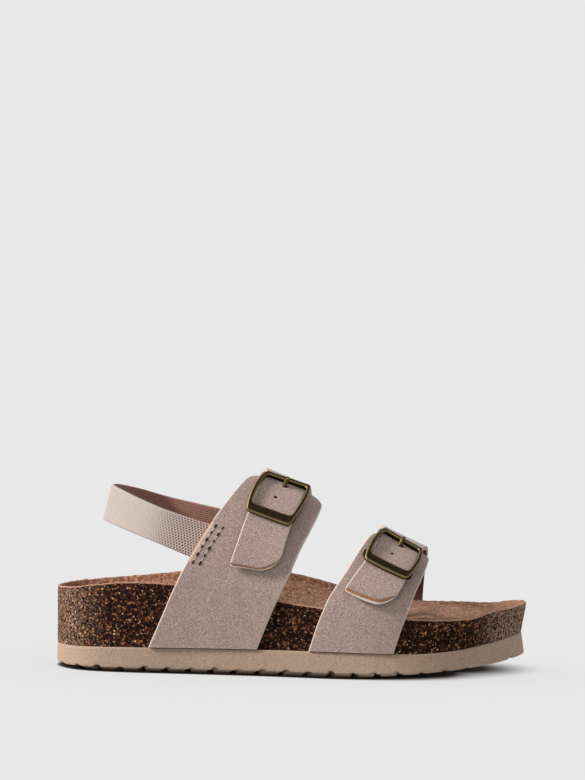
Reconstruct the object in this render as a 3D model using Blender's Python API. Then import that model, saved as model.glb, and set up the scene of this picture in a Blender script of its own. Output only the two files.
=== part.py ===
"""A child's right-foot double-buckle sandal: cork footbed, two buckled straps and an elastic heel strap.

Lengths are millimetres until a mesh is made, where METRE turns them into metres. "along" runs from the
back of the heel to the toe, "across" from the outer (little toe) side to the inner side, and z is up.
"""

import math

import bmesh
import bpy
import numpy as np

METRE = 0.001

# Driving dimensions
SOLE_LENGTH = 168.4
OUTSOLE_LEDGE = 1.2
TOE_FLARE = 1.2
FLOOR_LEVEL = -1.5  # height of the floor among the heights below
TOE_SPRING = 6.8
TOE_SPRING_START = 96.0
TOE_SPRING_POWER = 1.475
INSOLE_THICKNESS = 0.9
STRAP_THICKNESS = 1.6
ELASTIC_WIDTH = 12.0
ELASTIC_THICKNESS = 1.3
GAP = 0.3
ACROSS_SHIFT = 1.26

# Rim of the footbed seen from above: from the heel along the outer side to the toe, and back.
RIM_OUTLINE = (  # along, across
    (0.0, 0.0),
    (4.0, -13.2),
    (13.0, -20.8),
    (28.0, -23.9),
    (52.0, -25.2),
    (76.0, -27.2),
    (98.0, -30.8),
    (115.0, -33.0),
    (130.0, -32.4),
    (144.0, -27.8),
    (156.0, -19.2),
    (164.6, -7.2),
    (168.4, 6.0),
    (165.6, 18.6),
    (157.0, 27.3),
    (143.0, 32.2),
    (127.0, 33.0),
    (111.0, 30.2),
    (94.0, 25.4),
    (76.0, 22.4),
    (54.0, 22.4),
    (30.0, 23.5),
    (13.0, 20.6),
    (4.0, 13.2),
)
TOE_POINT = 12  # row of the outline at the tip of the toe

RIM_HEIGHT = (  # along, outer side, inner side
    (0.0, 26.9, 26.9),
    (14.0, 29.1, 27.8),
    (28.0, 30.6, 29.0),
    (50.0, 29.8, 31.2),
    (70.0, 26.9, 32.1),
    (84.0, 24.7, 30.8),
    (100.0, 22.8, 26.9),
    (118.0, 21.0, 22.3),
    (135.0, 20.0, 20.9),
    (147.0, 20.4, 21.0),
    (156.0, 22.7, 21.3),
    (168.4, 23.7, 23.7),
)
FOOTBED_FLOOR = (  # along, height on the middle line
    (0.0, 20.6),
    (26.0, 20.0),
    (48.0, 20.6),
    (70.0, 21.6),
    (95.0, 19.6),
    (114.0, 18.2),
    (124.0, 19.1),
    (131.0, 20.0),
    (139.0, 17.9),
    (150.0, 17.3),
    (168.4, 19.0),
)
OUTSOLE_TOP = (  # along, height of the seam under the cork
    (0.0, 6.7),
    (25.0, 7.4),
    (84.0, 7.9),
    (126.0, 8.0),
    (139.0, 8.8),
    (153.0, 10.8),
    (162.0, 12.3),
    (168.4, 13.3),
)
SEAM_INSET = (  # along, how far the cork's side is drawn in at the seam
    (0.0, 0.3),
    (30.0, 0.5),
    (120.0, 0.7),
    (150.0, 1.2),
    (168.4, 1.7),
)
CROWN_HEIGHT = (  # along, height of the last's middle under the straps
    (40.0, 80.0),
    (60.0, 72.4),
    (75.0, 66.2),
    (90.0, 60.2),
    (100.0, 55.2),
    (115.0, 47.1),
    (131.0, 39.6),
    (140.0, 35.8),
)

# The dish of the footbed: how steeply it climbs to its rim, and the spine that its rings close on.
DISH_POWER = 3.4
RIM_LIP = 1.0
SPINE_START = 25.0
SPINE_END = 140.0
RING_POINTS = 72
FOOTBED_RINGS = (0.9, 0.78, 0.6, 0.38, 0.16)  # share of the way from spine to rim

# Wavy ribs under the outsole, cut by grooves that run across it.
EDGE_RISE = (  # along, how high the outsole's rounded lower edge reaches over its tread
    (0.0, 1.5),
    (22.0, 1.75),
    (65.0, 2.0),
    (96.0, 2.2),
    (110.0, 1.7),
    (122.0, 1.2),
    (131.0, 0.7),
    (144.0, 0.45),
    (168.4, 0.45),
)
GROOVE_COUNT = 19
GROOVE_FIRST = 9.0
GROOVE_PITCH = 8.0
GROOVE_WIDTH = 3.0  # of the cutter's lower side, as far under the sole as the groove is deep
GROOVE_FLOOR_WIDTH = 1.7
GROOVE_DEPTH = 1.7
GROOVE_WAVE = 1.5
GROOVE_WAVELENGTH = 17.0
GROOVE_REACH = 46.75
GROOVE_STEPS = 11

# Straps. "level" is the place round the foot: 0 and 4 at the foot of the outer and inner leg, 1 and 3 at
# the rims, 2 at the crown. "rear" and "front" are the strap's edges, "lift" its height above the last.
INSTEP_OUTER = (  # level, rear, front
    (0.0, 33.8, 72.1),
    (0.5, 38.4, 75.5),
    (1.0, 43.0, 79.0),
    (1.15, 48.3, 82.8),
    (1.3, 53.8, 85.9),
    (1.5, 60.4, 90.0),
    (1.7, 65.6, 92.8),
    (2.0, 71.5, 94.6),
)
INSTEP_INNER = (  # level, rear, front, lift
    (1.14, 61.8, 78.8, 2.8),
    (1.25, 64.1, 80.3, 3.0),
    (1.45, 67.6, 82.9, 3.2),
    (1.65, 70.4, 85.5, 3.2),
    (1.84, 72.2, 87.2, 3.0),
    (2.00, 72.3, 88.4, 2.1),
    (2.25, 70.2, 89.8, 0.4),
    (2.60, 62.5, 88.0, 0.0),
    (3.00, 50.5, 83.6, 0.0),
    (4.00, 42.0, 80.0, 0.0),
)
TOE_OUTER = (
    (0.0, 90.3, 119.8),
    (1.0, 95.4, 123.7),
    (1.3, 103.1, 127.4),
    (1.5, 107.0, 129.8),
    (1.7, 110.2, 131.4),
    (2.0, 114.2, 132.8),
)
TOE_INNER = (
    (1.09, 102.3, 118.8, 3.2),
    (1.20, 104.9, 120.8, 3.3),
    (1.38, 108.7, 123.7, 3.2),
    (1.60, 112.0, 126.7, 3.2),
    (1.82, 113.9, 128.9, 3.0),
    (2.00, 114.2, 130.8, 2.2),
    (2.25, 113.6, 132.2, 0.4),
    (2.60, 112.3, 132.3, 0.0),
    (3.00, 107.5, 132.0, 0.0),
    (4.00, 104.0, 131.6, 0.0),
)
OUTER_END_LEVEL = 1.92
OUTER_CORNER_REAR = 8.5
OUTER_CORNER_FRONT = 6.5
TAB_CORNER_REAR = 1.2
INSTEP_TIP = (-0.7, 8.2)  # how far the rear corner of the tip is cut back, radius of the front corner
TOE_TIP = (2.0, 5.4)
TIP_FADE = 12.0
STRAP_COLUMNS = 7
LEVEL_KNOTS = (0.0, 1.0, 3.0, 4.0)
LEG_LENGTHS = (0.0, 1.0, 6.0, 7.0)  # how far round the foot those levels lie, in lengths of a leg

# Buckles, in the strap's own directions: width across it, length along it and height above the last.
BUCKLE_BOW = 0.17  # how much wider, as a share, the frame is at its middle
BUCKLE_HALF_LENGTH = 8.4
BUCKLE_CORNER = 1.1
BUCKLE_INNER_CORNER = 1.0
BUCKLE_SIDE_BAR = 1.4
BUCKLE_TOP_BAR = 1.8
BUCKLE_WIDE_BAR = 2.8
BUCKLE_HEIGHT = 1.5
BUCKLE_BEVEL = 0.45
BUCKLE_CORNER_STEPS = 4
BUCKLE_SIDE_STEPS = 6
HINGE_RADIUS = 0.5
HINGE_PLACE = -5.6
PRONG_RADIUS = 0.5
PRONG_HOLES = (  # name, width, length, radius
    ("prong", 0.0, 4.8, 1.3),
    ("spare", -0.8, -0.65, 0.6),
)
INSTEP_BUCKLE = {  # levels of the wide and the top bar, how much lower a millimetre of each lies to the toe
    "levels": (1.466, 1.788),
    "slants": (0.0004, -0.0018),
    "lean": 0.07,  # how far a millimetre up its length lies to the toe
    "half_width": 8.3,
}
TOE_BUCKLE = {
    "levels": (1.367, 1.695),
    "slants": (0.0045, 0.0046),
    "lean": 0.0,
    "half_width": 7.6,
}

# The elastic: where it lies under the straps, and the free loop behind them.
ELASTIC_LEVELS = (1.137, 1.232, 1.328)  # lower edge, middle, upper edge on the outer side
ELASTIC_INNER_LEVEL_RISE = 0.04
ELASTIC_SEWN = (8.0, 4.0, 0.0)  # how far in front of the strap's rear edge
ELASTIC_BACK = 17.7
ELASTIC_FRONT = 50.0
ELASTIC_HALF_SPAN = 24.5
ELASTIC_BACK_HEIGHT = 57.0
ELASTIC_FRONT_HEIGHT = 46.1
ELASTIC_INNER_RISE = 1.85
ELASTIC_POINT = 1.5  # how pointed the back of the loop is from above: 1 is an ellipse
ELASTIC_FLARE = 0.08  # how much wider, as a share, the tape looks where it turns
ELASTIC_LEAN_BACK = 0.23
ELASTIC_LEAN_SIDE = 0.07
ELASTIC_TURNS = (-66, -45, -22, 0, 22, 45, 66)  # degrees round the heel
ELASTIC_STATIONS = 50

COLOURS = {  # material: base colour, roughness, metallic
    "eva": ((0.32, 0.22, 0.155), 0.75, 0.0),
    "cork": ((0.075, 0.035, 0.02), 0.85, 0.0),
    "suede_lining": ((0.27, 0.12, 0.065), 0.9, 0.0),
    "taupe_suede": ((0.34, 0.25, 0.215), 0.9, 0.0),
    "elastic": ((0.56, 0.43, 0.37), 0.85, 0.0),
    "antique_brass": ((0.2, 0.14, 0.05), 0.4, 1.0),
}


def smooth(table, column, place):
    """The value of a table's column at a place: a cubic through its rows that never overshoots them."""
    knots = [row[0] for row in table]
    values = [row[column] for row in table]
    place = min(max(place, knots[0]), knots[-1])
    steps = [b - a for a, b in zip(knots, knots[1:])]
    slopes = [(b - a) / step for a, b, step in zip(values, values[1:], steps)]
    tangents = [slopes[0]]
    for before, after in zip(slopes, slopes[1:]):
        turning = before * after <= 0
        tangents.append(0.0 if turning else 2 * before * after / (before + after))
    tangents.append(slopes[-1])
    index = max(i for i in range(len(steps)) if place >= knots[i])
    step = steps[index]
    t = (place - knots[index]) / step
    start, end = values[index], values[index + 1]
    pull, push = tangents[index] * step, tangents[index + 1] * step
    return (
        start
        + pull * t
        + (3 * (end - start) - 2 * pull - push) * t**2
        + (2 * (start - end) + pull + push) * t**3
    )


def strap_value(table, column, level):
    """The value of a strap table's column at a level, smooth over the distance round the foot."""
    rows = [(np.interp(row[0], LEVEL_KNOTS, LEG_LENGTHS), *row[1:]) for row in table]
    return smooth(rows, column, np.interp(level, LEVEL_KNOTS, LEG_LENGTHS))


def through(points, count, closed=False):
    """A smooth curve through points, read at an even count of places along it."""
    points = [np.array(p, float) for p in points]
    total = len(points)
    spans = total if closed else total - 1
    fine = []
    for span in range(spans):
        if closed:
            a, b, c, d = (points[(span + k) % total] for k in (-1, 0, 1, 2))
        else:
            b, c = points[span], points[span + 1]
            a = points[span - 1] if span else 2 * b - c
            d = points[span + 2] if span + 2 < total else 2 * c - b
        bend = 2 * a - 5 * b + 4 * c - d
        twist = 3 * b - a - 3 * c + d
        for t in np.linspace(0, 1, 16, endpoint=False):
            fine.append(0.5 * (2 * b + (c - a) * t + bend * t**2 + twist * t**3))
    fine.append(points[0] if closed else points[-1])
    fine = np.array(fine)
    run = np.concatenate([[0], np.cumsum(np.linalg.norm(np.diff(fine, axis=0), axis=1))])
    places = np.linspace(0, run[-1], count)
    return np.stack([np.interp(places, run, fine[:, k]) for k in range(fine.shape[1])], axis=1)


def rim_outline():
    """RING_POINTS points of the rim, half on each side, so that point i faces point -i across the foot."""
    dense = through(RIM_OUTLINE, 1441, closed=True)
    toe = int(np.argmin(np.linalg.norm(dense - np.array(RIM_OUTLINE[TOE_POINT]), axis=1)))
    half = RING_POINTS // 2
    sides = []
    for side in (dense[: toe + 1], dense[toe:]):
        run = np.concatenate([[0], np.cumsum(np.linalg.norm(np.diff(side, axis=0), axis=1))])
        places = np.linspace(0, run[-1], half + 1)[:-1]
        sides.append(np.stack([np.interp(places, run, side[:, k]) for k in (0, 1)], axis=1))
    return np.concatenate(sides)


OUTLINE = rim_outline()
HALF = RING_POINTS // 2
OUTER_EDGE = OUTLINE[: HALF + 1]
INNER_EDGE = np.concatenate([OUTLINE[HALF:], OUTLINE[:1]])[::-1]


def edge_across(along, inner):
    """Where the rim's edge lies across the foot at a place along it."""
    edge = INNER_EDGE if inner else OUTER_EDGE
    return float(np.interp(along, edge[:, 0], edge[:, 1]))


def middle_across(along):
    return (edge_across(along, False) + edge_across(along, True)) / 2


def is_inner(index):
    return index > HALF


def rim_height(index):
    return smooth(RIM_HEIGHT, 2 if is_inner(index) else 1, OUTLINE[index][0])


def spine_point(index):
    along = min(max(OUTLINE[index][0], SPINE_START), SPINE_END)
    return np.array([along, middle_across(along)])


def toward_rim(index, share):
    """A point between the spine and the rim, seen from above."""
    spine = spine_point(index)
    return spine + (OUTLINE[index] - spine) * share


def drawn_in(index, inset):
    """The rim's point moved towards the spine by a distance."""
    spine = spine_point(index)
    reach = OUTLINE[index] - spine
    return OUTLINE[index] - reach / np.linalg.norm(reach) * inset


def footbed_height(index, share):
    """Height of the insole's upper face: a dish that climbs from the middle line to the rim."""
    along = toward_rim(index, share)[0]
    floor = smooth(FOOTBED_FLOOR, 1, along)
    return floor + (rim_height(index) - floor) * share**DISH_POWER


def outsole_top(along):
    return smooth(OUTSOLE_TOP, 1, along)


def outsole_bottom(along):
    """The floor, with the toe lifted off it."""
    share = max(0.0, along - TOE_SPRING_START) / (SOLE_LENGTH - TOE_SPRING_START)
    return FLOOR_LEVEL + TOE_SPRING * share**TOE_SPRING_POWER


def ring(place, height):
    """One closed loop of points: place gives each point from above, height its z."""
    points = []
    for index in range(RING_POINTS):
        along, across = place(index)
        points.append((along, across, height(index, along)))
    return points


def last(along, level):
    """The last that the straps lie on: legs up the cork's sides, and an arch from rim to rim."""
    inner = level > 2
    side = 4 - level if inner else level
    edge = edge_across(along, inner)
    outward = math.copysign(1, edge)
    rim = smooth(RIM_HEIGHT, 2 if inner else 1, along)
    if side <= 1:
        foot = outsole_top(along) + GAP
        inset = smooth(SEAM_INSET, 1, along) * (1 - side)
        return np.array([along, edge + outward * (GAP - inset), foot + (rim - foot) * side])
    turn = (side - 1) * math.pi / 2
    crown = smooth(CROWN_HEIGHT, 1, along)
    middle = middle_across(along)
    across = middle + (edge + outward * GAP - middle) * math.cos(turn)
    return np.array([along, across, rim + (crown - rim) * math.sin(turn)])


def lifted(along, level, lift):
    """A point above the last, along its outward normal."""
    small = 0.02
    forward = last(along + 1, level) - last(along - 1, level)
    upward = last(along, min(level + small, 4)) - last(along, max(level - small, 0))
    normal = np.cross(forward, upward)
    normal /= np.linalg.norm(normal)
    return last(along, level) + normal * lift


def level_step(along, level):
    """How far level moves for one millimetre along the strap."""
    small = 0.01
    return 2 * small / np.linalg.norm(last(along, level + small) - last(along, level - small))


def corner_inset(distance, radius):
    """How far a rounded corner cuts in, at a distance from the strap's end."""
    if distance >= radius:
        return 0.0
    return radius - math.sqrt(max(0.0, radius**2 - (radius - distance) ** 2))


def strap_rows(table, levels, end, corners, lift_column):
    """The strap's rows of (level, rear, front, lift), with its end rounded off at both corners."""
    rows = []
    for level in levels:
        rear = strap_value(table, 1, level)
        front = strap_value(table, 2, level)
        distance = abs(level - end) / level_step((rear + front) / 2, level)
        rear += corner_inset(distance, corners[0])
        front -= corner_inset(distance, corners[1])
        rows.append((level, rear, front, strap_value(table, 3, level) if lift_column else 0.0))
    return rows


def end_levels(table, end, away, radius):
    """Levels close together near a strap's rounded end, from the end inwards."""
    along = (strap_value(table, 1, end) + strap_value(table, 2, end)) / 2
    reach = away * level_step(along, end) * radius
    return [end + reach * (1 - math.cos(math.radians(turn))) for turn in (0, 22, 44, 66, 90)]


def outer_strap_rows(table):
    """The outer strap: from the foot of its leg to a rounded end under the buckle."""
    levels = [0.0, 0.5, 1.0, 1.12, 1.24, 1.36, 1.48, 1.6, 1.7]
    levels += end_levels(table, OUTER_END_LEVEL, -1, OUTER_CORNER_REAR)[::-1]
    corners = (OUTER_CORNER_REAR, OUTER_CORNER_FRONT)
    return strap_rows(table, sorted(levels), OUTER_END_LEVEL, corners, False)


def inner_strap_rows(table, corner):
    """The inner strap: from its tip, through the buckle, over the crown and down the inner leg."""
    tip = table[0][0]
    levels = end_levels(table, tip, 1, corner)
    inside = [1.32, 1.4, 1.48, 1.56, 1.64, 1.72, 1.8, 1.88, 1.94, 2.0, 2.06, 2.14, 2.24, 2.36, 2.5]
    levels += [level for level in inside if level > levels[-1] + 0.03]
    levels += [2.65, 2.8, 3.0, 3.5, 4.0]
    return strap_rows(table, levels, tip, (TAB_CORNER_REAR, corner), True)


def material(name):
    colour, roughness, metallic = COLOURS[name]
    made = bpy.data.materials.get(name)
    if made is None:
        made = bpy.data.materials.new(name)
        made.use_nodes = True
        shader = made.node_tree.nodes["Principled BSDF"]
        shader.inputs["Base Color"].default_value = (*colour, 1.0)
        shader.inputs["Roughness"].default_value = roughness
        shader.inputs["Metallic"].default_value = metallic
    return made


def make_object(name, points, faces, material_name, helper=False):
    """A mesh object from points in millimetres, with its faces turned outwards."""
    mesh = bpy.data.meshes.new(name)
    shift = np.array([-SOLE_LENGTH / 2, ACROSS_SHIFT, -FLOOR_LEVEL])
    placed = (np.array(points, float) + shift) * METRE
    mesh.from_pydata([tuple(p) for p in placed], [], [tuple(f) for f in faces])
    shape = bmesh.new()
    shape.from_mesh(mesh)
    bmesh.ops.recalc_face_normals(shape, faces=shape.faces[:])
    shape.to_mesh(mesh)
    shape.free()
    mesh.shade_smooth()
    mesh.set_sharp_from_angle(angle=math.radians(40))
    made = bpy.data.objects.new(name, mesh)
    bpy.context.scene.collection.objects.link(made)
    if helper:
        made.hide_render = True
        made.display_type = "WIRE"
    else:
        mesh.materials.append(material(material_name))
    return made


def joined_boolean(target, other, operation):
    """A Boolean modifier on target that takes the other object in."""
    modifier = target.modifiers.new(operation.lower(), "BOOLEAN")
    modifier.operation = operation
    modifier.object = other
    modifier.solver = "EXACT"
    other.hide_render = True
    other.display_type = "WIRE"


def split(points, quad):
    """A four-sided face as two triangles along its shorter diagonal, so that nearby faces fold alike."""
    a, b, c, d = quad
    across = math.dist(points[a], points[c])
    other = math.dist(points[b], points[d])
    return [(a, b, c), (a, c, d)] if across <= other else [(a, b, d), (b, c, d)]


def ring_solid(name, rings, material_name):
    """A closed solid through a stack of loops, each end closed by faces that run from side to side."""
    count = RING_POINTS
    points = [p for loop in rings for p in loop]
    faces = []
    for level in range(len(rings) - 1):
        low, high = level * count, (level + 1) * count
        for i in range(count):
            j = (i + 1) % count
            faces += split(points, (low + i, low + j, high + j, high + i))
    for base in (0, (len(rings) - 1) * count):
        faces.append((base, base + 1, base + count - 1))
        for i in range(1, HALF - 1):
            faces += split(points, (base + i, base + i + 1, base + count - i - 1, base + count - i))
        faces.append((base + HALF - 1, base + HALF, base + HALF + 1))
    return make_object(name, points, faces, material_name)


def sheet_solid(name, inner, outer, material_name):
    """A closed solid between two grids of points, such as the two faces of a strap."""
    rows, columns = len(inner), len(inner[0])
    points = [p for grid in (inner, outer) for row in grid for p in row]
    size = rows * columns
    faces = []
    for j in range(rows - 1):
        for k in range(columns - 1):
            a = j * columns + k
            quad = (a, a + 1, a + columns + 1, a + columns)
            faces += split(points, quad)
            faces += split(points, tuple(size + v for v in quad))
    border = [k for k in range(columns)]
    border += [j * columns + columns - 1 for j in range(1, rows)]
    border += [(rows - 1) * columns + k for k in range(columns - 2, -1, -1)]
    border += [j * columns for j in range(rows - 2, 0, -1)]
    for a, b in zip(border, border[1:] + border[:1]):
        faces.append((a, b, size + b, size + a))
    return make_object(name, points, faces, material_name)


def tube(name, path, radius, sides, material_name):
    """A round rod along a path of points, with closed ends."""
    path = [np.array(p, float) for p in path]
    points = []
    for index, centre in enumerate(path):
        before = path[max(index - 1, 0)]
        after = path[min(index + 1, len(path) - 1)]
        run = (after - before) / np.linalg.norm(after - before)
        side = np.cross(run, (0.31, 0.17, 0.94))
        side /= np.linalg.norm(side)
        up = np.cross(side, run)
        for k in range(sides):
            turn = 2 * math.pi * k / sides
            points.append(centre + radius * (math.cos(turn) * side + math.sin(turn) * up))
    faces = []
    for index in range(len(path) - 1):
        for k in range(sides):
            a, b = index * sides + k, index * sides + (k + 1) % sides
            faces.append((a, b, b + sides, a + sides))
    faces.append(tuple(range(sides)))
    faces.append(tuple((len(path) - 1) * sides + k for k in range(sides)))
    return make_object(name, points, faces, material_name)


def build_outsole():
    """The moulded outsole: a rounded lower edge, a ledge beside the cork and wavy ribs underneath."""

    def wall(share):
        """The side between its lower edge and the seam."""

        def place(index):
            along = OUTLINE[index][0]
            middle = math.sin(math.pi * along / SOLE_LENGTH)
            inset = smooth(SEAM_INSET, 1, along) - OUTSOLE_LEDGE * math.sqrt(max(0.0, middle))
            return drawn_in(index, inset - TOE_FLARE * (1 - share) * along / SOLE_LENGTH)

        def height(index, along):
            return outsole_bottom(along) * (1 - share) + outsole_top(along) * share

        return ring(place, height)

    def rounded(inset, share):
        """One loop of the lower edge."""

        def height(index, along):
            return outsole_bottom(along) + share * smooth(EDGE_RISE, 1, along)

        return ring(lambda i: drawn_in(i, inset), height)

    edge = ((5.0, 0.0), (2.8, 0.5), (0.3, 1.0))  # inset and share of the height of the rounded lower edge
    rings = [ring(lambda i: toward_rim(i, 0.35), lambda i, along: outsole_bottom(along))]
    rings += [rounded(inset, share) for inset, share in edge]
    rings.append(wall(0.36))
    rings.append(wall(1.0))
    rings.append(ring(lambda i: toward_rim(i, 0.4), lambda i, along: outsole_top(along)))
    outsole = ring_solid("outsole", rings, "eva")
    joined_boolean(outsole, build_grooves(), "DIFFERENCE")
    return outsole


def build_grooves():
    """The grooves between the ribs, each a wavy bar with sloping sides that follows the toe's lift."""
    points, faces = [], []
    profile = (  # twice the distance from the groove's middle, side
        (-GROOVE_WIDTH, -1.0),
        (GROOVE_WIDTH, -1.0),
        (GROOVE_FLOOR_WIDTH, 1.0),
        (-GROOVE_FLOOR_WIDTH, 1.0),
    )
    corners = len(profile)
    for groove in range(GROOVE_COUNT):
        base = len(points)
        centre = GROOVE_FIRST + GROOVE_PITCH * groove
        for step in range(GROOVE_STEPS + 1):
            across = GROOVE_REACH * (2 * step / GROOVE_STEPS - 1)
            along = centre + GROOVE_WAVE * math.sin(2 * math.pi * across / GROOVE_WAVELENGTH)
            for width, side in profile:
                at = along + width / 2
                points.append((at, across, outsole_bottom(at) + side * GROOVE_DEPTH))
        for step in range(GROOVE_STEPS):
            for k in range(corners):
                a = base + step * corners + k
                b = base + step * corners + (k + 1) % corners
                faces.append((a, b, b + corners, a + corners))
        faces.append(tuple(base + k for k in range(corners)))
        faces.append(tuple(base + GROOVE_STEPS * corners + k for k in range(corners)))
    return make_object("tread_grooves", points, faces, None, helper=True)


def footbed_rings(drop):
    """Loops of the dished face, from the rim inwards, lowered by a distance under the insole's face."""

    def dish(share):
        return ring(lambda i: toward_rim(i, share), lambda i, along: footbed_height(i, share) - drop)

    return [dish(share) for share in FOOTBED_RINGS]


def rim_ring(inset, drop):
    return ring(lambda i: drawn_in(i, inset), lambda i, along: rim_height(i) - drop)


def build_cork():
    """The cork footbed: upright sides drawn in at the seam, and a dish with heel cup, arch and toe bar."""
    under = INSOLE_THICKNESS + GAP

    def side(share):
        def height(index, along):
            seam = outsole_top(along) + GAP
            return seam + (rim_height(index) - under - seam) * share

        def place(index):
            return drawn_in(index, smooth(SEAM_INSET, 1, OUTLINE[index][0]) * (1 - share))

        return ring(place, height)

    rings = [ring(lambda i: toward_rim(i, 0.4), lambda i, along: outsole_top(along) + GAP)]
    rings += [side(0.0), side(0.5), side(1.0)]
    rings.append(rim_ring(RIM_LIP, under))
    rings += footbed_rings(under)
    return ring_solid("cork_footbed", rings, "cork")


def build_insole():
    """The suede sheet that lines the footbed out to its rim."""
    lower = [rim_ring(0.2, INSOLE_THICKNESS), rim_ring(RIM_LIP, INSOLE_THICKNESS)]
    lower += footbed_rings(INSOLE_THICKNESS)
    upper = [rim_ring(0.0, 0.35), rim_ring(0.5, 0.0), rim_ring(RIM_LIP, 0.0)]
    upper += footbed_rings(0.0)
    return ring_solid("insole", lower[::-1] + upper, "suede_lining")


def strap_grids(rows, tip_rise=0.0):
    """The lower and upper face of a strap from its rows, with the rear corner of its tip cut back."""
    faces = []
    shares = np.linspace(0, 1, STRAP_COLUMNS)
    for extra in (0.0, STRAP_THICKNESS):
        grid = []
        for level, rear, front, lift in rows:
            step = level_step((rear + front) / 2, min(level, 3.9))
            fade = max(0.0, 1 - (level - rows[0][0]) / step / TIP_FADE)
            line = []
            for share in shares:
                raised = level + tip_rise * step * fade * (1 - share) ** 1.5
                line.append(lifted(rear + (front - rear) * share, raised, lift + extra))
            grid.append(line)
        faces.append(grid)
    return faces


class BuckleSpace:
    """The strap's own directions at a buckle: width across it, length along it, height above the last."""

    def __init__(self, table, buckle):
        self.table = table
        self.levels = buckle["levels"]
        self.slants = buckle["slants"]
        self.lean = buckle["lean"]
        self.half_width = buckle["half_width"]
        self.span = BUCKLE_HALF_LENGTH * 2 - BUCKLE_WIDE_BAR / 2 - BUCKLE_TOP_BAR / 2
        self.low = -BUCKLE_HALF_LENGTH + BUCKLE_WIDE_BAR / 2

    def level(self, length):
        share = (length - self.low) / self.span
        return self.levels[0] + share * (self.levels[1] - self.levels[0])

    def tab_top(self, length):
        return strap_value(self.table, 3, self.level(length)) + STRAP_THICKNESS

    def middle(self, level):
        return (strap_value(self.table, 1, level) + strap_value(self.table, 2, level)) / 2

    def stretch(self, level):
        middle = self.middle(level)
        return np.linalg.norm(last(middle + 1, level) - last(middle - 1, level)) / 2

    def tab_half(self, length):
        level = self.level(length)
        width = strap_value(self.table, 2, level) - strap_value(self.table, 1, level)
        return width / 2 * self.stretch(level)

    def point(self, width, length, height):
        level = self.level(length)
        middle, stretch = self.middle(level), self.stretch(level)
        share = (length - self.low) / self.span
        slant = self.slants[0] + share * (self.slants[1] - self.slants[0])
        aside = width + self.lean * length
        return lifted(middle + aside / stretch, level - slant * aside, height)


def rounded_loop(half_width, half_length, middle, radius):
    """A rectangle with rounded corners and bowed sides, as (width, length) pairs."""
    pairs = []
    corners = ((1, 1), (-1, 1), (-1, -1), (1, -1))
    for number, (side, end) in enumerate(corners):
        centre = np.array([side * (half_width - radius), end * (half_length - radius)])
        for step in range(BUCKLE_CORNER_STEPS + 1):
            turn = math.pi / 2 * (number + step / BUCKLE_CORNER_STEPS)
            pairs.append(centre + radius * np.array([math.cos(turn), math.sin(turn)]))
        next_side, next_end = corners[(number + 1) % 4]
        ahead = np.array([next_side * (half_width - radius), next_end * (half_length - radius)])
        for step in range(1, BUCKLE_SIDE_STEPS):
            pairs.append(pairs[-1] + (ahead - centre) / BUCKLE_SIDE_STEPS)
    loop = []
    for width, length in pairs:
        bow = 1 + BUCKLE_BOW * (1 - ((middle + length) / BUCKLE_HALF_LENGTH) ** 2)
        loop.append((width * bow, middle + length))
    return loop


def build_buckle(name, space):
    """The frame with its wide lower bar, and the hinge bar that passes under the strap's end."""
    inner_half = BUCKLE_HALF_LENGTH - (BUCKLE_WIDE_BAR + BUCKLE_TOP_BAR) / 2
    inner_middle = (BUCKLE_WIDE_BAR - BUCKLE_TOP_BAR) / 2
    outer_width = space.half_width
    inner_width = outer_width - BUCKLE_SIDE_BAR
    bevel = BUCKLE_BEVEL
    outer, inner = BUCKLE_CORNER, BUCKLE_INNER_CORNER
    loops = (  # half width, half length, middle, corner radius, height above the strap's end
        (outer_width, BUCKLE_HALF_LENGTH, 0.0, outer, 0.0),
        (outer_width, BUCKLE_HALF_LENGTH, 0.0, outer, BUCKLE_HEIGHT - bevel),
        (outer_width - bevel, BUCKLE_HALF_LENGTH - bevel, 0.0, outer - bevel, BUCKLE_HEIGHT),
        (inner_width + bevel, inner_half + bevel, inner_middle, inner + bevel, BUCKLE_HEIGHT),
        (inner_width, inner_half, inner_middle, inner, BUCKLE_HEIGHT - bevel),
        (inner_width, inner_half, inner_middle, inner, 0.0),
    )
    points, faces = [], []
    for half_width, half_length, middle, radius, height in loops:
        for width, length in rounded_loop(half_width, half_length, middle, radius):
            points.append(space.point(width, length, space.tab_top(length) + GAP + height))
    count = len(points) // len(loops)
    for loop in range(len(loops)):
        low, high = loop * count, (loop + 1) % len(loops) * count
        for i in range(count):
            j = (i + 1) % count
            faces.append((low + i, low + j, high + j, high + i))
    frame = make_object(name, points, faces, "antique_brass")
    inside = space.tab_top(HINGE_PLACE) + GAP + BUCKLE_HEIGHT / 2
    under = STRAP_THICKNESS + GAP + HINGE_RADIUS
    reach = space.tab_half(HINGE_PLACE) + GAP + HINGE_RADIUS
    path = [(-reach, inside), (-reach, under + 1.0), (-reach + 0.6, under)]
    path += [(width, under) for width in (-5.0, 0.0, 5.0)]
    path += [(-width, height) for width, height in path[2::-1]]
    aside = space.lean * HINGE_PLACE
    route = [space.point(width - aside, HINGE_PLACE, height) for width, height in path]
    bar = tube(name + "_bar", route, HINGE_RADIUS, 8, "antique_brass")
    joined_boolean(frame, bar, "UNION")
    return frame


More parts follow.
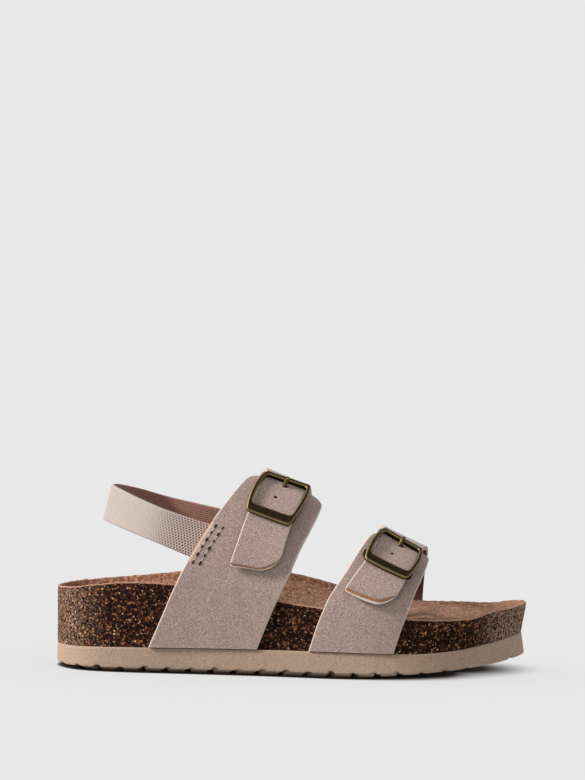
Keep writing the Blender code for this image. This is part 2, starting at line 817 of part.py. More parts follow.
def build_prong(name, space):
    """The prong: from the hinge bar under the strap's end, up through its hole and over the top bar."""
    rest = BUCKLE_HALF_LENGTH - BUCKLE_TOP_BAR / 2
    over = space.tab_top(rest) + GAP + BUCKLE_HEIGHT + GAP + PRONG_RADIUS
    under = STRAP_THICKNESS + GAP + PRONG_RADIUS
    hole = PRONG_HOLES[0][2]
    through_hole = space.tab_top(hole) - STRAP_THICKNESS / 2
    climb = through_hole - under
    route = (  # length along the strap, height above the last
        (HINGE_PLACE + HINGE_RADIUS + GAP, under),
        (-2.0, under),
        (hole - 0.9, under),
        (hole, through_hole),
        (hole + 0.55, through_hole + climb),
        (rest - 1.2, over),
        (rest - 0.35, over),
    )
    path = [space.point(0.0, length, height) for length, height in route]
    return tube(name, path, PRONG_RADIUS, 8, "antique_brass")


def build_hole_cutter(name, space, width, length, radius):
    """A round punch through the strap's end."""
    top = space.tab_top(length)
    path = [space.point(width, length, height) for height in (top - STRAP_THICKNESS - 0.25, top + 0.25)]
    return tube(name, path, radius, 10, "antique_brass")


def build_strap_pair(name, outer_table, inner_table, tip, buckle):
    """One buckled strap: its outer half, its inner half with the punched end, the buckle and the prong."""
    outer_grids = strap_grids(outer_strap_rows(outer_table))
    sheet_solid(f"{name}_strap_outer", *outer_grids, "taupe_suede")
    tip_rise, tip_corner = tip
    inner_grids = strap_grids(inner_strap_rows(inner_table, tip_corner), tip_rise)
    inner = sheet_solid(f"{name}_strap_inner", *inner_grids, "taupe_suede")
    space = BuckleSpace(inner_table, buckle)
    for hole, width, length, radius in PRONG_HOLES:
        punch = build_hole_cutter(f"{name}_{hole}_punch", space, width, length, radius)
        joined_boolean(inner, punch, "DIFFERENCE")
    build_buckle(f"{name}_buckle", space)
    build_prong(f"{name}_prong", space)


def sewn_point(table, level, forward, depth):
    """A point of the elastic under a strap, in front of the strap's rear edge."""
    along = strap_value(table, 1, level) + forward
    return lifted(along, level, -depth)


def elastic_middle(turn):
    """A point of the free loop's middle line, by degrees round the heel."""
    c, s = math.cos(math.radians(turn)), math.sin(math.radians(turn))
    along = ELASTIC_FRONT - (ELASTIC_FRONT - ELASTIC_BACK) * c
    across = ELASTIC_HALF_SPAN * math.copysign(abs(s) ** ELASTIC_POINT, s)
    drop = (ELASTIC_BACK_HEIGHT - ELASTIC_FRONT_HEIGHT) * (1 - c)
    return np.array([along, across, ELASTIC_BACK_HEIGHT - drop + ELASTIC_INNER_RISE * max(0.0, s)])


def elastic_rails(depth):
    """Lower edge, middle and upper edge of the elastic's face that lies this deep under the straps."""
    rails = []
    for rail, level in enumerate(ELASTIC_LEVELS):
        offset = (rail - 1) * ELASTIC_WIDTH / 2
        outer = [sewn_point(INSTEP_OUTER, level, forward, depth) for forward in ELASTIC_SEWN]
        inner_level = 4 - level - ELASTIC_INNER_LEVEL_RISE
        inner = [sewn_point(INSTEP_INNER, inner_level, forward, depth) for forward in ELASTIC_SEWN]
        free = []
        for turn in ELASTIC_TURNS:
            c, s = math.cos(math.radians(turn)), math.sin(math.radians(turn))
            width = np.array([ELASTIC_LEAN_BACK + 0.2 * (1 - c), -ELASTIC_LEAN_SIDE * s * abs(s), 1.0])
            width *= (1 + ELASTIC_FLARE * c**4) / np.linalg.norm(width)
            run = elastic_middle(turn + 2) - elastic_middle(turn - 2)
            outward = np.array([-run[1], run[0], 0.0]) / math.hypot(run[0], run[1])
            face = ELASTIC_THICKNESS / 2 + GAP - depth
            free.append(elastic_middle(turn) + width * offset + outward * face)
        rails.append(through(outer + free + inner[::-1], ELASTIC_STATIONS))
    return rails


def build_elastic():
    """The elastic heel strap, its ends sewn under the instep strap on both sides."""
    faces = []
    for depth in (GAP + ELASTIC_THICKNESS, GAP):
        rails = elastic_rails(depth)
        faces.append([[rail[station] for rail in rails] for station in range(ELASTIC_STATIONS)])
    return sheet_solid("heel_elastic", *faces, "elastic")


def main():
    for old in list(bpy.data.objects):
        bpy.data.objects.remove(old)
    build_outsole()
    build_cork()
    build_insole()
    build_strap_pair("instep", INSTEP_OUTER, INSTEP_INNER, INSTEP_TIP, INSTEP_BUCKLE)
    build_strap_pair("toe", TOE_OUTER, TOE_INNER, TOE_TIP, TOE_BUCKLE)
    build_elastic()


main()
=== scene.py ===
"""Looks for the child's double-buckle sandal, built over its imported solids.

Lengths are millimetres until a mesh is made. "along" runs from the back of the heel to the toe, "across"
from the outer side to the inner side, and z is up, as in the part's own source.
"""

import math
from types import SimpleNamespace

import bmesh
import bpy
import numpy as np
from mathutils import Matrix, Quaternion, Vector, noise


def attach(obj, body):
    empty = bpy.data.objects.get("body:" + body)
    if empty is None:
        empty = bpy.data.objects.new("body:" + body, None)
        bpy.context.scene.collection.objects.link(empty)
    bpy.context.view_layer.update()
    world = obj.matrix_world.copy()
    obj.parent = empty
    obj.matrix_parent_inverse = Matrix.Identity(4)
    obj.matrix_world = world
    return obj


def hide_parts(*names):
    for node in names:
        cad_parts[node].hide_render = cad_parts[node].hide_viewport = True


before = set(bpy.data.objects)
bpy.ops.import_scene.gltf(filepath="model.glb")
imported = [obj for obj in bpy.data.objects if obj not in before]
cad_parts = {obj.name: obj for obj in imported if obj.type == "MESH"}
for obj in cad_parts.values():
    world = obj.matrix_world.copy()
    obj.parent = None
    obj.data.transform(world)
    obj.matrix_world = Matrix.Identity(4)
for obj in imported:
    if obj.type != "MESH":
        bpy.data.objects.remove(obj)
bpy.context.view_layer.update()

METRE = 0.001

# Sizes repeated from the part's source
SOLE_LENGTH = 168.4
OUTSOLE_LEDGE = 1.2
TOE_FLARE = 1.2
FLOOR_LEVEL = -1.5  # height of the floor among the heights below
TOE_SPRING = 6.8
TOE_SPRING_START = 96.0
TOE_SPRING_POWER = 1.475
STRAP_THICKNESS = 1.6
ELASTIC_WIDTH = 12.0
ELASTIC_THICKNESS = 1.3
GAP = 0.3
ACROSS_SHIFT = 1.26

RIM_OUTLINE = (  # along, across
    (0.0, 0.0), (4.0, -13.2), (13.0, -20.8), (28.0, -23.9), (52.0, -25.2), (76.0, -27.2), (98.0, -30.8),
    (115.0, -33.0), (130.0, -32.4), (144.0, -27.8), (156.0, -19.2), (164.6, -7.2), (168.4, 6.0),
    (165.6, 18.6), (157.0, 27.3), (143.0, 32.2), (127.0, 33.0), (111.0, 30.2), (94.0, 25.4), (76.0, 22.4),
    (54.0, 22.4), (30.0, 23.5), (13.0, 20.6), (4.0, 13.2),
)
TOE_POINT = 12
RIM_HEIGHT = (  # along, outer side, inner side
    (0.0, 26.9, 26.9), (14.0, 29.1, 27.8), (28.0, 30.6, 29.0), (50.0, 29.8, 31.2), (70.0, 26.9, 32.1),
    (84.0, 24.7, 30.8), (100.0, 22.8, 26.9), (118.0, 21.0, 22.3), (135.0, 20.0, 20.9), (147.0, 20.4, 21.0),
    (156.0, 22.7, 21.3), (168.4, 23.7, 23.7),
)
FOOTBED_FLOOR = (  # along, height on the middle line
    (0.0, 20.6), (26.0, 20.0), (48.0, 20.6), (70.0, 21.6), (95.0, 19.6), (114.0, 18.2), (124.0, 19.1),
    (131.0, 20.0), (139.0, 17.9), (150.0, 17.3), (168.4, 19.0),
)
OUTSOLE_TOP = (  # along, height of the seam under the cork
    (0.0, 6.7), (25.0, 7.4), (84.0, 7.9), (126.0, 8.0), (139.0, 8.8), (153.0, 10.8), (162.0, 12.3),
    (168.4, 13.3),
)
SEAM_INSET = (  # along, how far the cork's side is drawn in at the seam
    (0.0, 0.3), (30.0, 0.5), (120.0, 0.7), (150.0, 1.2), (168.4, 1.7),
)
CROWN_HEIGHT = (  # along, height of the last's middle under the straps
    (40.0, 80.0), (60.0, 72.4), (75.0, 66.2), (90.0, 60.2), (100.0, 55.2), (115.0, 47.1), (131.0, 39.6),
    (140.0, 35.8),
)
INSTEP_OUTER = (  # level, rear, front
    (0.0, 33.8, 72.1), (0.5, 38.4, 75.5), (1.0, 43.0, 79.0), (1.15, 48.3, 82.8), (1.3, 53.8, 85.9),
    (1.5, 60.4, 90.0), (1.7, 65.6, 92.8), (2.0, 71.5, 94.6),
)
INSTEP_INNER = (  # level, rear, front, lift
    (1.14, 61.8, 78.8, 2.8), (1.25, 64.1, 80.3, 3.0), (1.45, 67.6, 82.9, 3.2), (1.65, 70.4, 85.5, 3.2),
    (1.84, 72.2, 87.2, 3.0), (2.00, 72.3, 88.4, 2.1), (2.25, 70.2, 89.8, 0.4), (2.60, 62.5, 88.0, 0.0),
    (3.00, 50.5, 83.6, 0.0), (4.00, 42.0, 80.0, 0.0),
)
TOE_OUTER = (
    (0.0, 90.3, 119.8), (1.0, 95.4, 123.7), (1.3, 103.1, 127.4), (1.5, 107.0, 129.8), (1.7, 110.2, 131.4),
    (2.0, 114.2, 132.8),
)
TOE_INNER = (
    (1.09, 102.3, 118.8, 3.2), (1.20, 104.9, 120.8, 3.3), (1.38, 108.7, 123.7, 3.2),
    (1.60, 112.0, 126.7, 3.2), (1.82, 113.9, 128.9, 3.0), (2.00, 114.2, 130.8, 2.2),
    (2.25, 113.6, 132.2, 0.4), (2.60, 112.3, 132.3, 0.0), (3.00, 107.5, 132.0, 0.0),
    (4.00, 104.0, 131.6, 0.0),
)
OUTER_END_LEVEL = 1.92
OUTER_CORNERS = (8.5, 6.5)  # rear, front
TAB_CORNER_REAR = 1.2
INSTEP_TIP = (-0.7, 8.2)  # how far the rear corner of the tip is cut back, radius of the front corner
TOE_TIP = (2.0, 5.4)
TIP_FADE = 12.0
FAR_LEVEL = 4.0  # levels run from 0 at the outer seam over the foot to this at the inner seam
LEVEL_KNOTS = (0.0, 1.0, 3.0, FAR_LEVEL)
LEG_LENGTHS = (0.0, 1.0, 6.0, 7.0)  # how far round the foot those levels lie, in lengths of a leg

BUCKLE_BOW = 0.17
BUCKLE_HALF_LENGTH = 8.4
BUCKLE_CORNER = 1.1
BUCKLE_INNER_CORNER = 1.0
BUCKLE_SIDE_BAR = 1.4
BUCKLE_TOP_BAR = 1.8
BUCKLE_WIDE_BAR = 2.8
BUCKLE_HEIGHT = 1.5
HINGE_RADIUS = 0.5
HINGE_PLACE = -5.6
PRONG_HOLE_PLACE = 4.8
INSTEP_BUCKLE = {  # levels of the wide and the top bar, how much lower a millimetre of each lies to the toe
    "levels": (1.466, 1.788),
    "slants": (0.0004, -0.0018),
    "lean": 0.07,  # how far a millimetre up its length lies to the toe
    "half_width": 8.3,
}
TOE_BUCKLE = {
    "levels": (1.367, 1.695),
    "slants": (0.0045, 0.0046),
    "lean": 0.0,
    "half_width": 7.6,
}

ELASTIC_LEVELS = (1.137, 1.232, 1.328)
ELASTIC_INNER_LEVEL_RISE = 0.04
ELASTIC_SEWN = (8.0, 4.0, 0.0)
ELASTIC_BACK = 17.7
ELASTIC_FRONT = 50.0
ELASTIC_HALF_SPAN = 24.5
ELASTIC_BACK_HEIGHT = 57.0
ELASTIC_FRONT_HEIGHT = 46.1
ELASTIC_INNER_RISE = 1.85
ELASTIC_POINT = 1.5
ELASTIC_FLARE = 0.08
ELASTIC_LEAN_BACK = 0.23
ELASTIC_LEAN_MORE = 0.2  # towards its ends
ELASTIC_LEAN_SIDE = 0.07
ELASTIC_TURNS = (-66, -45, -22, 0, 22, 45, 66)

# Sizes of the looks
SPAN_STEPS = 16  # points of a smooth curve from knot to knot
RIM_FINE = 2881
ROD_ASIDE = (0.31, 0.17, 0.94)  # a direction that no rod runs along
ROD_STATIONS = 60
MERGE_DISTANCE = 1e-7  # metres
RING_POINTS = 840
HALF = RING_POINTS // 2
SPINE_START = 25.0
SPINE_END = 140.0
DISH = (  # share of the way from spine to rim, share of the climb
    (0.0, 0.0), (0.2, 0.005), (0.38, 0.037), (0.6, 0.176), (0.78, 0.43), (0.9, 0.7), (0.96, 0.97),
    (1.0, 1.0),
)
INSOLE_EDGE = 0.5
FAR_FROM_EDGE = 9.0  # edge value of points where the rubbed edge can't be seen
RIB_FIRST = 9.0
RIB_PITCH = 8.0
RIB_WAVE = 1.5
RIB_WAVELENGTH = 17.0
RIB_DEPTH = 1.7
GROOVE_SIDE = (0.6, 1.5)  # where a groove's side starts and ends, from its middle
LIP_RISE = (  # along, how high the lower edge of the outsole's side stands over the tread
    (0.0, 1.5), (22.0, 1.75), (65.0, 2.0), (96.0, 2.2), (110.0, 1.7), (122.0, 1.2), (131.0, 0.7),
    (144.0, 0.45), (168.4, 0.45),
)
TREAD_LOOPS = 30
WALL_SHARES = (0.04, 0.12, 0.25, 0.4, 0.55, 0.7, 0.85, 0.95)  # up the outsole's side
WALL_TOP = ((0.1, 0.1), (0.3, 0.0), (1.2, 0.0))  # inset, drop
LIP_WIDTH = 6.0
LIP_INSETS = (6.0, 5.5, 5.0, 4.5, 4.0, 3.5, 3.0, 2.6, 2.2, 1.8, 1.4, 1.0, 0.7, 0.45, 0.25, 0.1)
SCALLOP = (0.55, 0.3, 2.4)  # depth of the grooves in the lower edge: mean, swing, turn for each groove
FACE_GAP = 0.04  # between the cork and its neighbours
CORK_ROWS = 26
CORK_INSETS = (1.5, 0.12)  # of its underside beside the seam, and of its top edge
CORK_DISH = (0.93, 0.85, 0.7, 0.5, 0.3, 0.0)  # shares of the way from spine to rim
INSOLE_UNDER = (0.0, 0.4, 0.7, 0.93)  # such shares on its underside
INSOLE_SIDE = (  # inset, drop
    (0.25, INSOLE_EDGE), (0.06, INSOLE_EDGE - FACE_GAP), (0.0, 0.3), (0.03, 0.16), (0.14, 0.05),
)
INSOLE_BRIM = (0.3, 0.5, 0.75, 1.0)  # insets beside the rim
INSOLE_TOP = (  # shares from there to the spine
    0.945, 0.925, 0.9, 0.87, 0.84, 0.8, 0.76, 0.71, 0.66, 0.6, 0.54, 0.47, 0.4, 0.33, 0.25, 0.17, 0.09, 0.0,
)
INSOLE_BRIM_DROP = 0.02
CORK_LUMPS = ((2.2, 0.07, 1), (0.9, 0.05, 2))  # size, height, seed
INSOLE_LUMPS = ((1.6, 0.2, 3), (0.8, 0.1, 7), (6.0, 0.12, 4))
END_TURN = (0.2, 0.95)  # how far the rim faces heel or toe where the ends start and are full
END_DUST_AND_SHEEN = (1.15, 0.58)  # how much dust and painted sheen lighten the cork at the toe and at the heel
WAIST_PAINTED_SHADE = 0.35  # painted shade: how much fewer the cork's pale flecks are between the straps
WAIST_REAR = (58.0, 78.0)
WAIST_FRONT = (112.0, 132.0)
ROUND_TOP = 0.45
ROUND_UNDER = 0.2
STRAP_FINE = 400  # places at which a strap's run is measured
STRAP_STEP = 0.75  # from row to row of a strap's mesh
STRAP_BRINK = (0.0, 0.05, 0.12, 0.22, 0.34, 0.5, 0.8, 1.1)  # its columns beside an edge
STRAP_COLUMNS = 30  # and between them
CORNER_ROWS = 30
LEVEL_LIMITS = (0.05, 3.9)  # where the length of a level can be measured
TIP_POWER = 1.5
FAR_END_ROOM = 0.3  # a strap's far end is rounded less than its sides
SWAY_FADE = 3.0
STRAP_LUMPS = (7.0, 0.1, 5)  # size, height, seed
EDGE_LUMPS = (1.3, 0.16, 6)
LINING_EDGE = 0.5
CORE_EDGE = 1.08
INSTEP_SKIVE = 1.0  # how far the thinned tip of a strap reaches
TOE_SKIVE = 1.5
SKIVE_DROP = 1.05
SKIVE_FLAT = 0.5  # from this share of the skive on, the edge isn't rounded
SKIVE_CORNER = (0.2, 0.85)  # how square to the strap its brink lies where the skive starts and is full
RAW_LEVELS = (1.1, 1.36)  # where the strap's rear edge is cut raw beside the elastic
RAW_FADE = 0.04
RAW_WIDTH = 1.1
RAW_DROP = 0.6
ELASTIC_RIBS = 15
ELASTIC_RIB_COLUMNS = 6
ELASTIC_RIB_HEIGHT = 0.07
ELASTIC_EDGE = (0.04, 0.35)  # share of the width that is rounded off, and how far
ELASTIC_WEAVE = 1.12  # length of one crossing
ELASTIC_PULL = (12.0, 33.0)  # how far from its ends the weave closes
ELASTIC_STATIONS = 260
HINGE_SIDES = 16
HINGE_WEAR = 0.3
HINGE_BEND = (0.6, 1.0)  # how far its corners are cut, in width and height
HINGE_STOPS = (-5.0, 0.0, 5.0)
HINGE_TUCK = 0.5  # how much shorter the hinge bar is on the toe's side
PRONG_RADIUS = 0.76
PRONG_SINK = 0.05
PRONG_SIDES = 18
PRONG_WEAR = 0.4
PRONG_HOLE = (0.45, 5.2, 1.2, 28)  # width, length, radius, points round it
SPARE_HOLE = (-0.8, -0.65, 0.7, 24)
HOLE_UNEVEN = ((0.12, 2, 0.7), (0.07, 5, 0.0))  # share of the radius, waves round the hole, start
HOLE_MEAN = 0.84
PUNCH_ROOM = (0.4, 0.6)  # how far the punch reaches below and above the strap
OUTER_PROFILE = (  # inset from the buckle's outer edge, height, wear and painted light: bright bevels are painted highlights, the dark foot painted shade
    (0.1, 0.0, 0.0), (0.0, 0.15, 0.15), (0.0, 0.95, 0.3), (0.03, 1.05, 0.75), (0.3, 1.42, 0.8),
    (0.4, 1.48, 0.5), (0.5, 1.5, 0.1),
)
# the inner walls' lowest values paint them near black: painted shade inside the frame
INNER_PROFILE = (
    (-0.42, 1.5, 0.1), (-0.34, 1.48, 0.45), (-0.26, 1.42, 0.7), (-0.03, 1.12, 0.6), (0.0, 1.02, 0.0),
    (0.0, 0.15, -0.4), (-0.1, 0.0, -0.4),
)
BUCKLE_CORNER_STEPS = 14
BUCKLE_SIDE_STEPS = 36
STITCH_ROWS = (2.1, 4.6)  # how far each row lies in front of the strap's rear edge
STITCH_LEVELS = (1.113, 1.318)
HOLES_PER_ROW = 6
HOLE_SHARE = 0.13  # half the length of a needle hole, as a share of the pitch
HOLE_RADIUS = (0.28, 0.44)  # least and greatest
HOLE_PULL = (40.0, 7.0)  # how it changes from hole to hole and from row to row
THREAD_RADIUS = 0.2
THREAD_SIDES = 10
THREAD_STATIONS = 7
THREAD_END = 0.4
STITCH_BULGE = 0.1
STITCH_SINK = 0.08
ELASTIC_OUTSIDE = (  # dark, mid, pale, and the pulled threads' tone, a painted highlight
    (0.07, 0.028, 0.02), (0.255, 0.21, 0.188), (0.332, 0.282, 0.258), (0.43, 0.334, 0.298),
)
ELASTIC_INSIDE = (
    (0.06, 0.024, 0.016), (0.205, 0.1, 0.073), (0.3, 0.156, 0.122), (0.28, 0.14, 0.108),
)

# Camera, fitted to the photograph
PICTURE_HEIGHT = 780
METRES_PER_PIXEL = 0.3576e-3
CAMERA_DISTANCE = 1.35
CAMERA_ELEVATION = 5.5
CAMERA_ROLL = 1.2
CAMERA_X = -0.0016
CAMERA_LEVEL = 0.0215
CAMERA_AIM_HEIGHT = 0.1
SENSOR = 36.0
FAR_CLIP = 200.0

BACKGROUND = 0.807
FLOOR_GREY = 0.2
FLOOR_REACH = 40000.0
FLOOR_INSETS = (  # of the floor's loops, from under the shoe outwards
    26.0, 22.0, 18.0, 14.0, 11.0, 8.5, 6.5, 4.5, 3.0, 1.8, 0.9, 0.3, -0.3, -0.9, -1.8, -3.0, -5.0, -8.0,
    -12.0, -17.0, -24.0,
)
FLOOR_STEP = 4  # of the rim's points, the floor takes one in so many
FLOOR_NEAR = 0.97
FLOOR_DROP = 0.02  # the floor lies just under the tread, so that no two faces coincide
SHADE_BORDER = (1.7, 4.0)  # width of the shade's soft border, and how much it grows by the sole's lift
SHADE_SHIFT = (0.5, 1.0, 1.5)  # how far the shade moves out: always, by the lift, and more on the far side
KEY_PLACE = (-1.3, -0.33, 0.92)  # metres
KEY_AIM = (0.0, 0.0, 0.03)
KEY_SIZE = 0.4
KEY_POWER = 44.0
KEY_COLOUR = (1.0, 0.985, 0.96)


def smooth(table, column, place):
    """The values of a table's column at some places: a cubic through its rows that never overshoots."""
    knots = np.array([row[0] for row in table], float)
    values = np.array([row[column] for row in table], float)
    steps = np.diff(knots)
    slopes = np.diff(values) / steps
    product = slopes[:-1] * slopes[1:]
    rising = product > 0
    total = np.where(rising, slopes[:-1] + slopes[1:], 1.0)
    tangents = np.concatenate([slopes[:1], np.where(rising, 2 * product / total, 0.0), slopes[-1:]])
    place = np.clip(np.asarray(place, float), knots[0], knots[-1])
    index = np.clip(np.searchsorted(knots, place, side="right") - 1, 0, len(steps) - 1)
    step = steps[index]
    t = (place - knots[index]) / step
    start, end = values[index], values[index + 1]
    pull, push = tangents[index] * step, tangents[index + 1] * step
    bend = 3 * (end - start) - 2 * pull - push
    twist = 2 * (start - end) + pull + push
    return start + pull * t + bend * t**2 + twist * t**3


def strap_value(table, column, level):
    """The values of a strap table's column at some levels, smooth over the distance round the foot."""
    rows = [(np.interp(row[0], LEVEL_KNOTS, LEG_LENGTHS), *row[1:]) for row in table]
    return smooth(rows, column, np.interp(level, LEVEL_KNOTS, LEG_LENGTHS))


def strap_middle(table, level):
    return (strap_value(table, 1, level) + strap_value(table, 2, level)) / 2


def ease(low, high, value):
    """0 below low, 1 above high and a smooth step between them."""
    t = np.clip((np.asarray(value, float) - low) / (high - low), 0, 1)
    return t * t * (3 - 2 * t)


def through(points, count, closed=False):
    """A smooth curve through points, read at an even count of places along it."""
    points = np.array(points, float)
    before, after = points[-1:], points[:2]
    if not closed:
        before, after = 2 * points[:1] - points[1:2], 2 * points[-1:] - points[-2:-1]
    points = np.concatenate([before, points, after])
    fine = []
    for a, b, c, d in zip(points, points[1:], points[2:], points[3:]):
        bend = 2 * a - 5 * b + 4 * c - d
        twist = 3 * b - a - 3 * c + d
        for t in np.linspace(0, 1, SPAN_STEPS, endpoint=False):
            fine.append(0.5 * (2 * b + (c - a) * t + bend * t**2 + twist * t**3))
    return evenly(np.array(fine + [points[-2]]), count)


def run_along(path):
    """How far each point of a path lies from its start."""
    return np.concatenate([[0], np.cumsum(np.linalg.norm(np.diff(path, axis=0), axis=1))])


def unit(vectors):
    return vectors / np.linalg.norm(vectors, axis=-1, keepdims=True)


def evenly(path, count):
    """A path of points read again at an even count of places along it."""
    run = run_along(path)
    places = np.linspace(0, run[-1], count)
    return np.stack([np.interp(places, run, path[:, k]) for k in range(path.shape[1])], axis=1)


def rim_outline():
    """Points of the rim, half on each side, so that point i faces point -i across the foot."""
    dense = through(RIM_OUTLINE, RIM_FINE, closed=True)
    toe = int(np.argmin(np.linalg.norm(dense - np.array(RIM_OUTLINE[TOE_POINT]), axis=1)))
    sides = [evenly(side, HALF + 1)[:-1] for side in (dense[: toe + 1], dense[toe:])]
    return np.concatenate(sides)


OUTLINE = rim_outline()
ALONG = OUTLINE[:, 0]
OUTER_EDGE = OUTLINE[: HALF + 1]
INNER_EDGE = np.concatenate([OUTLINE[HALF:], OUTLINE[:1]])[::-1]
IS_INNER = np.arange(RING_POINTS) > HALF


def edge_across(along, inner):
    outer_side = np.interp(along, OUTER_EDGE[:, 0], OUTER_EDGE[:, 1])
    inner_side = np.interp(along, INNER_EDGE[:, 0], INNER_EDGE[:, 1])
    return np.where(inner, inner_side, outer_side)


def middle_across(along):
    return (edge_across(along, False) + edge_across(along, True)) / 2


def rim_height(along, inner):
    return np.where(inner, smooth(RIM_HEIGHT, 2, along), smooth(RIM_HEIGHT, 1, along))


def outsole_top(along):
    return smooth(OUTSOLE_TOP, 1, along)


def outsole_bottom(along):
    share = np.maximum(0.0, along - TOE_SPRING_START) / (SOLE_LENGTH - TOE_SPRING_START)
    return FLOOR_LEVEL + TOE_SPRING * share**TOE_SPRING_POWER


SPINE_ALONG = np.clip(ALONG, SPINE_START, SPINE_END)
SPINE = np.stack([SPINE_ALONG, middle_across(SPINE_ALONG)], axis=1)
REACH = np.linalg.norm(OUTLINE - SPINE, axis=1)
OUTWARD = (OUTLINE - SPINE) / REACH[:, None]
RIM = rim_height(ALONG, IS_INNER)
SEAM = smooth(SEAM_INSET, 1, ALONG)


def toward_rim(share):
    """One loop seen from above, at a share of the way from the spine to the rim."""
    return SPINE + (OUTLINE - SPINE) * np.reshape(share, (-1, 1))


def drawn_in(inset):
    """The rim's loop moved towards the spine by a distance."""
    return toward_rim(1 - np.broadcast_to(inset, RING_POINTS) / REACH)


def loop(flat, height):
    return np.column_stack([flat, np.broadcast_to(height, len(flat))])


def last(along, level):
    """The last that the straps lie on: legs up the cork's sides, and an arch from rim to rim."""
    along, level = np.broadcast_arrays(np.asarray(along, float), np.asarray(level, float))
    inner = level > FAR_LEVEL / 2
    side = np.where(inner, FAR_LEVEL - level, level)
    edge = edge_across(along, inner)
    outward = np.sign(edge)
    rim = rim_height(along, inner)
    foot = outsole_top(along) + GAP
    inset = smooth(SEAM_INSET, 1, along) * (1 - side)
    leg = np.stack([along, edge + outward * (GAP - inset), foot + (rim - foot) * side], axis=-1)
    turn = (side - 1) * math.pi / 2
    middle = middle_across(along)
    across = middle + (edge + outward * GAP - middle) * np.cos(turn)
    crown = smooth(CROWN_HEIGHT, 1, along)
    arch = np.stack([along, across, rim + (crown - rim) * np.sin(turn)], axis=-1)
    return np.where((side <= 1)[..., None], leg, arch)


def last_normal(along, level):
    forward = last(along + 1.0, level) - last(along - 1.0, level)
    small = 0.02
    upward = last(along, np.minimum(level + small, FAR_LEVEL)) - last(along, np.maximum(level - small, 0))
    return unit(np.cross(forward, upward))


def lifted(along, level, lift):
    """Points above the last, along its outward normal."""
    along, level, lift = np.broadcast_arrays(*(np.asarray(v, float) for v in (along, level, lift)))
    return last(along, level) + last_normal(along, level) * lift[..., None]


def level_step(along, level):
    """How far level moves for one millimetre along the strap."""
    small = 0.01
    run = last(along, level + small) - last(along, level - small)
    return 2 * small / np.linalg.norm(run, axis=-1)


def wobble(points, size, height, seed):
    """Smooth random heights for points, with lumps of a size."""
    shift = Vector((seed * 7.3, seed * 3.1, seed * 5.7))
    flat = np.reshape(points, (-1, 3)) / size
    values = [noise.noise(Vector(p) + shift) for p in flat]
    return height * np.reshape(values, np.shape(points)[:-1])


# Meshes


def make_piece(name, points, faces, materials, face_materials=None, values=None, sharp=50):
    """A mesh object from points in millimetres, with material numbers by face and values by point."""
    mesh = bpy.data.meshes.new(name)
    shift = np.array([-SOLE_LENGTH / 2, ACROSS_SHIFT, -FLOOR_LEVEL])
    placed = (np.reshape(points, (-1, 3)) + shift) * METRE
    mesh.from_pydata(placed.tolist(), [], [tuple(int(v) for v in face) for face in faces])
    for given in materials:
        mesh.materials.append(given)
    if face_materials is not None:
        mesh.polygons.foreach_set("material_index", np.asarray(face_materials, np.int32))
    for key, column in (values or {}).items():
        attribute = mesh.attributes.new(key, "FLOAT", "POINT")
        attribute.data.foreach_set("value", np.asarray(column, np.float32).ravel())
    shape = bmesh.new()
    shape.from_mesh(mesh)
    bmesh.ops.remove_doubles(shape, verts=shape.verts[:], dist=MERGE_DISTANCE)
    bmesh.ops.recalc_face_normals(shape, faces=shape.faces[:])
    shape.to_mesh(mesh)
    shape.free()
    mesh.shade_smooth()
    mesh.set_sharp_from_angle(angle=math.radians(sharp))
    made = bpy.data.objects.new(name, mesh)
    bpy.context.scene.collection.objects.link(made)
    return made


def dress(piece, slot, *nodes):
    """The piece rides with the shoe and stands for some solids, which it hides; its slot is not used."""
    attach(piece, "root")
    if nodes:
        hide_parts(*nodes)
    return piece


def band(low, high):
    """Faces between two closed rows of points, by their numbers."""
    return np.column_stack([low, np.roll(low, -1), np.roll(high, -1), high]).tolist()


def skin(loops, capped=False):
    """Points and faces of a surface through a stack of closed loops of equal length."""
    rings = np.arange(len(loops) * len(loops[0])).reshape(len(loops), -1)
    faces = [face for low, high in zip(rings, rings[1:]) for face in band(low, high)]
    if capped:
        faces += [rings[0].tolist(), rings[-1].tolist()]
    return np.concatenate(loops), faces


def sheet(rows, columns):
    """Faces of a sheet's two sides, their material numbers, and the points round its border."""
    grid = np.arange(rows * columns).reshape(rows, columns)
    corners = (grid[:-1, :-1], grid[:-1, 1:], grid[1:, 1:], grid[1:, :-1])
    under = np.stack(corners, axis=-1).reshape(-1, 4)
    faces = np.stack([under, under + grid.size], axis=1).reshape(-1, 4).tolist()
    border = np.concatenate([grid[0], grid[1:, -1], grid[-1, -2::-1], grid[-2:0:-1, 0]])
    return faces, [1, 0] * len(under), border


def tube(path, radius, sides, rounded=False):
    """Points and faces of a rod along a path, its ends flat or rounded."""
    path = np.array(path, float)
    runs = unit(np.gradient(path, axis=0))
    rings = [(centre, run, radius) for centre, run in zip(path, runs)]
    for turn in np.radians((20, 40, 60, 80) if rounded else ()):
        reach, size = radius * math.sin(turn), radius * math.cos(turn)
        rings.insert(0, (path[0] - runs[0] * reach, runs[0], size))
        rings.append((path[-1] + runs[-1] * reach, runs[-1], size))
    turns = np.arange(sides) * 2 * math.pi / sides
    loops = []
    for centre, run, size in rings:
        side = unit(np.cross(run, ROD_ASIDE))
        up = np.cross(side, run)
        loops.append(centre + size * (np.outer(np.cos(turns), side) + np.outer(np.sin(turns), up)))
    return skin(loops, capped=True)


def gather(shapes):
    """Several (points, faces) as one."""
    points, faces, base = [], [], 0
    for some_points, some_faces in shapes:
        points.append(np.reshape(some_points, (-1, 3)))
        faces += [tuple(v + base for v in face) for face in some_faces]
        base += len(points[-1])
    return np.concatenate(points), faces


# Materials


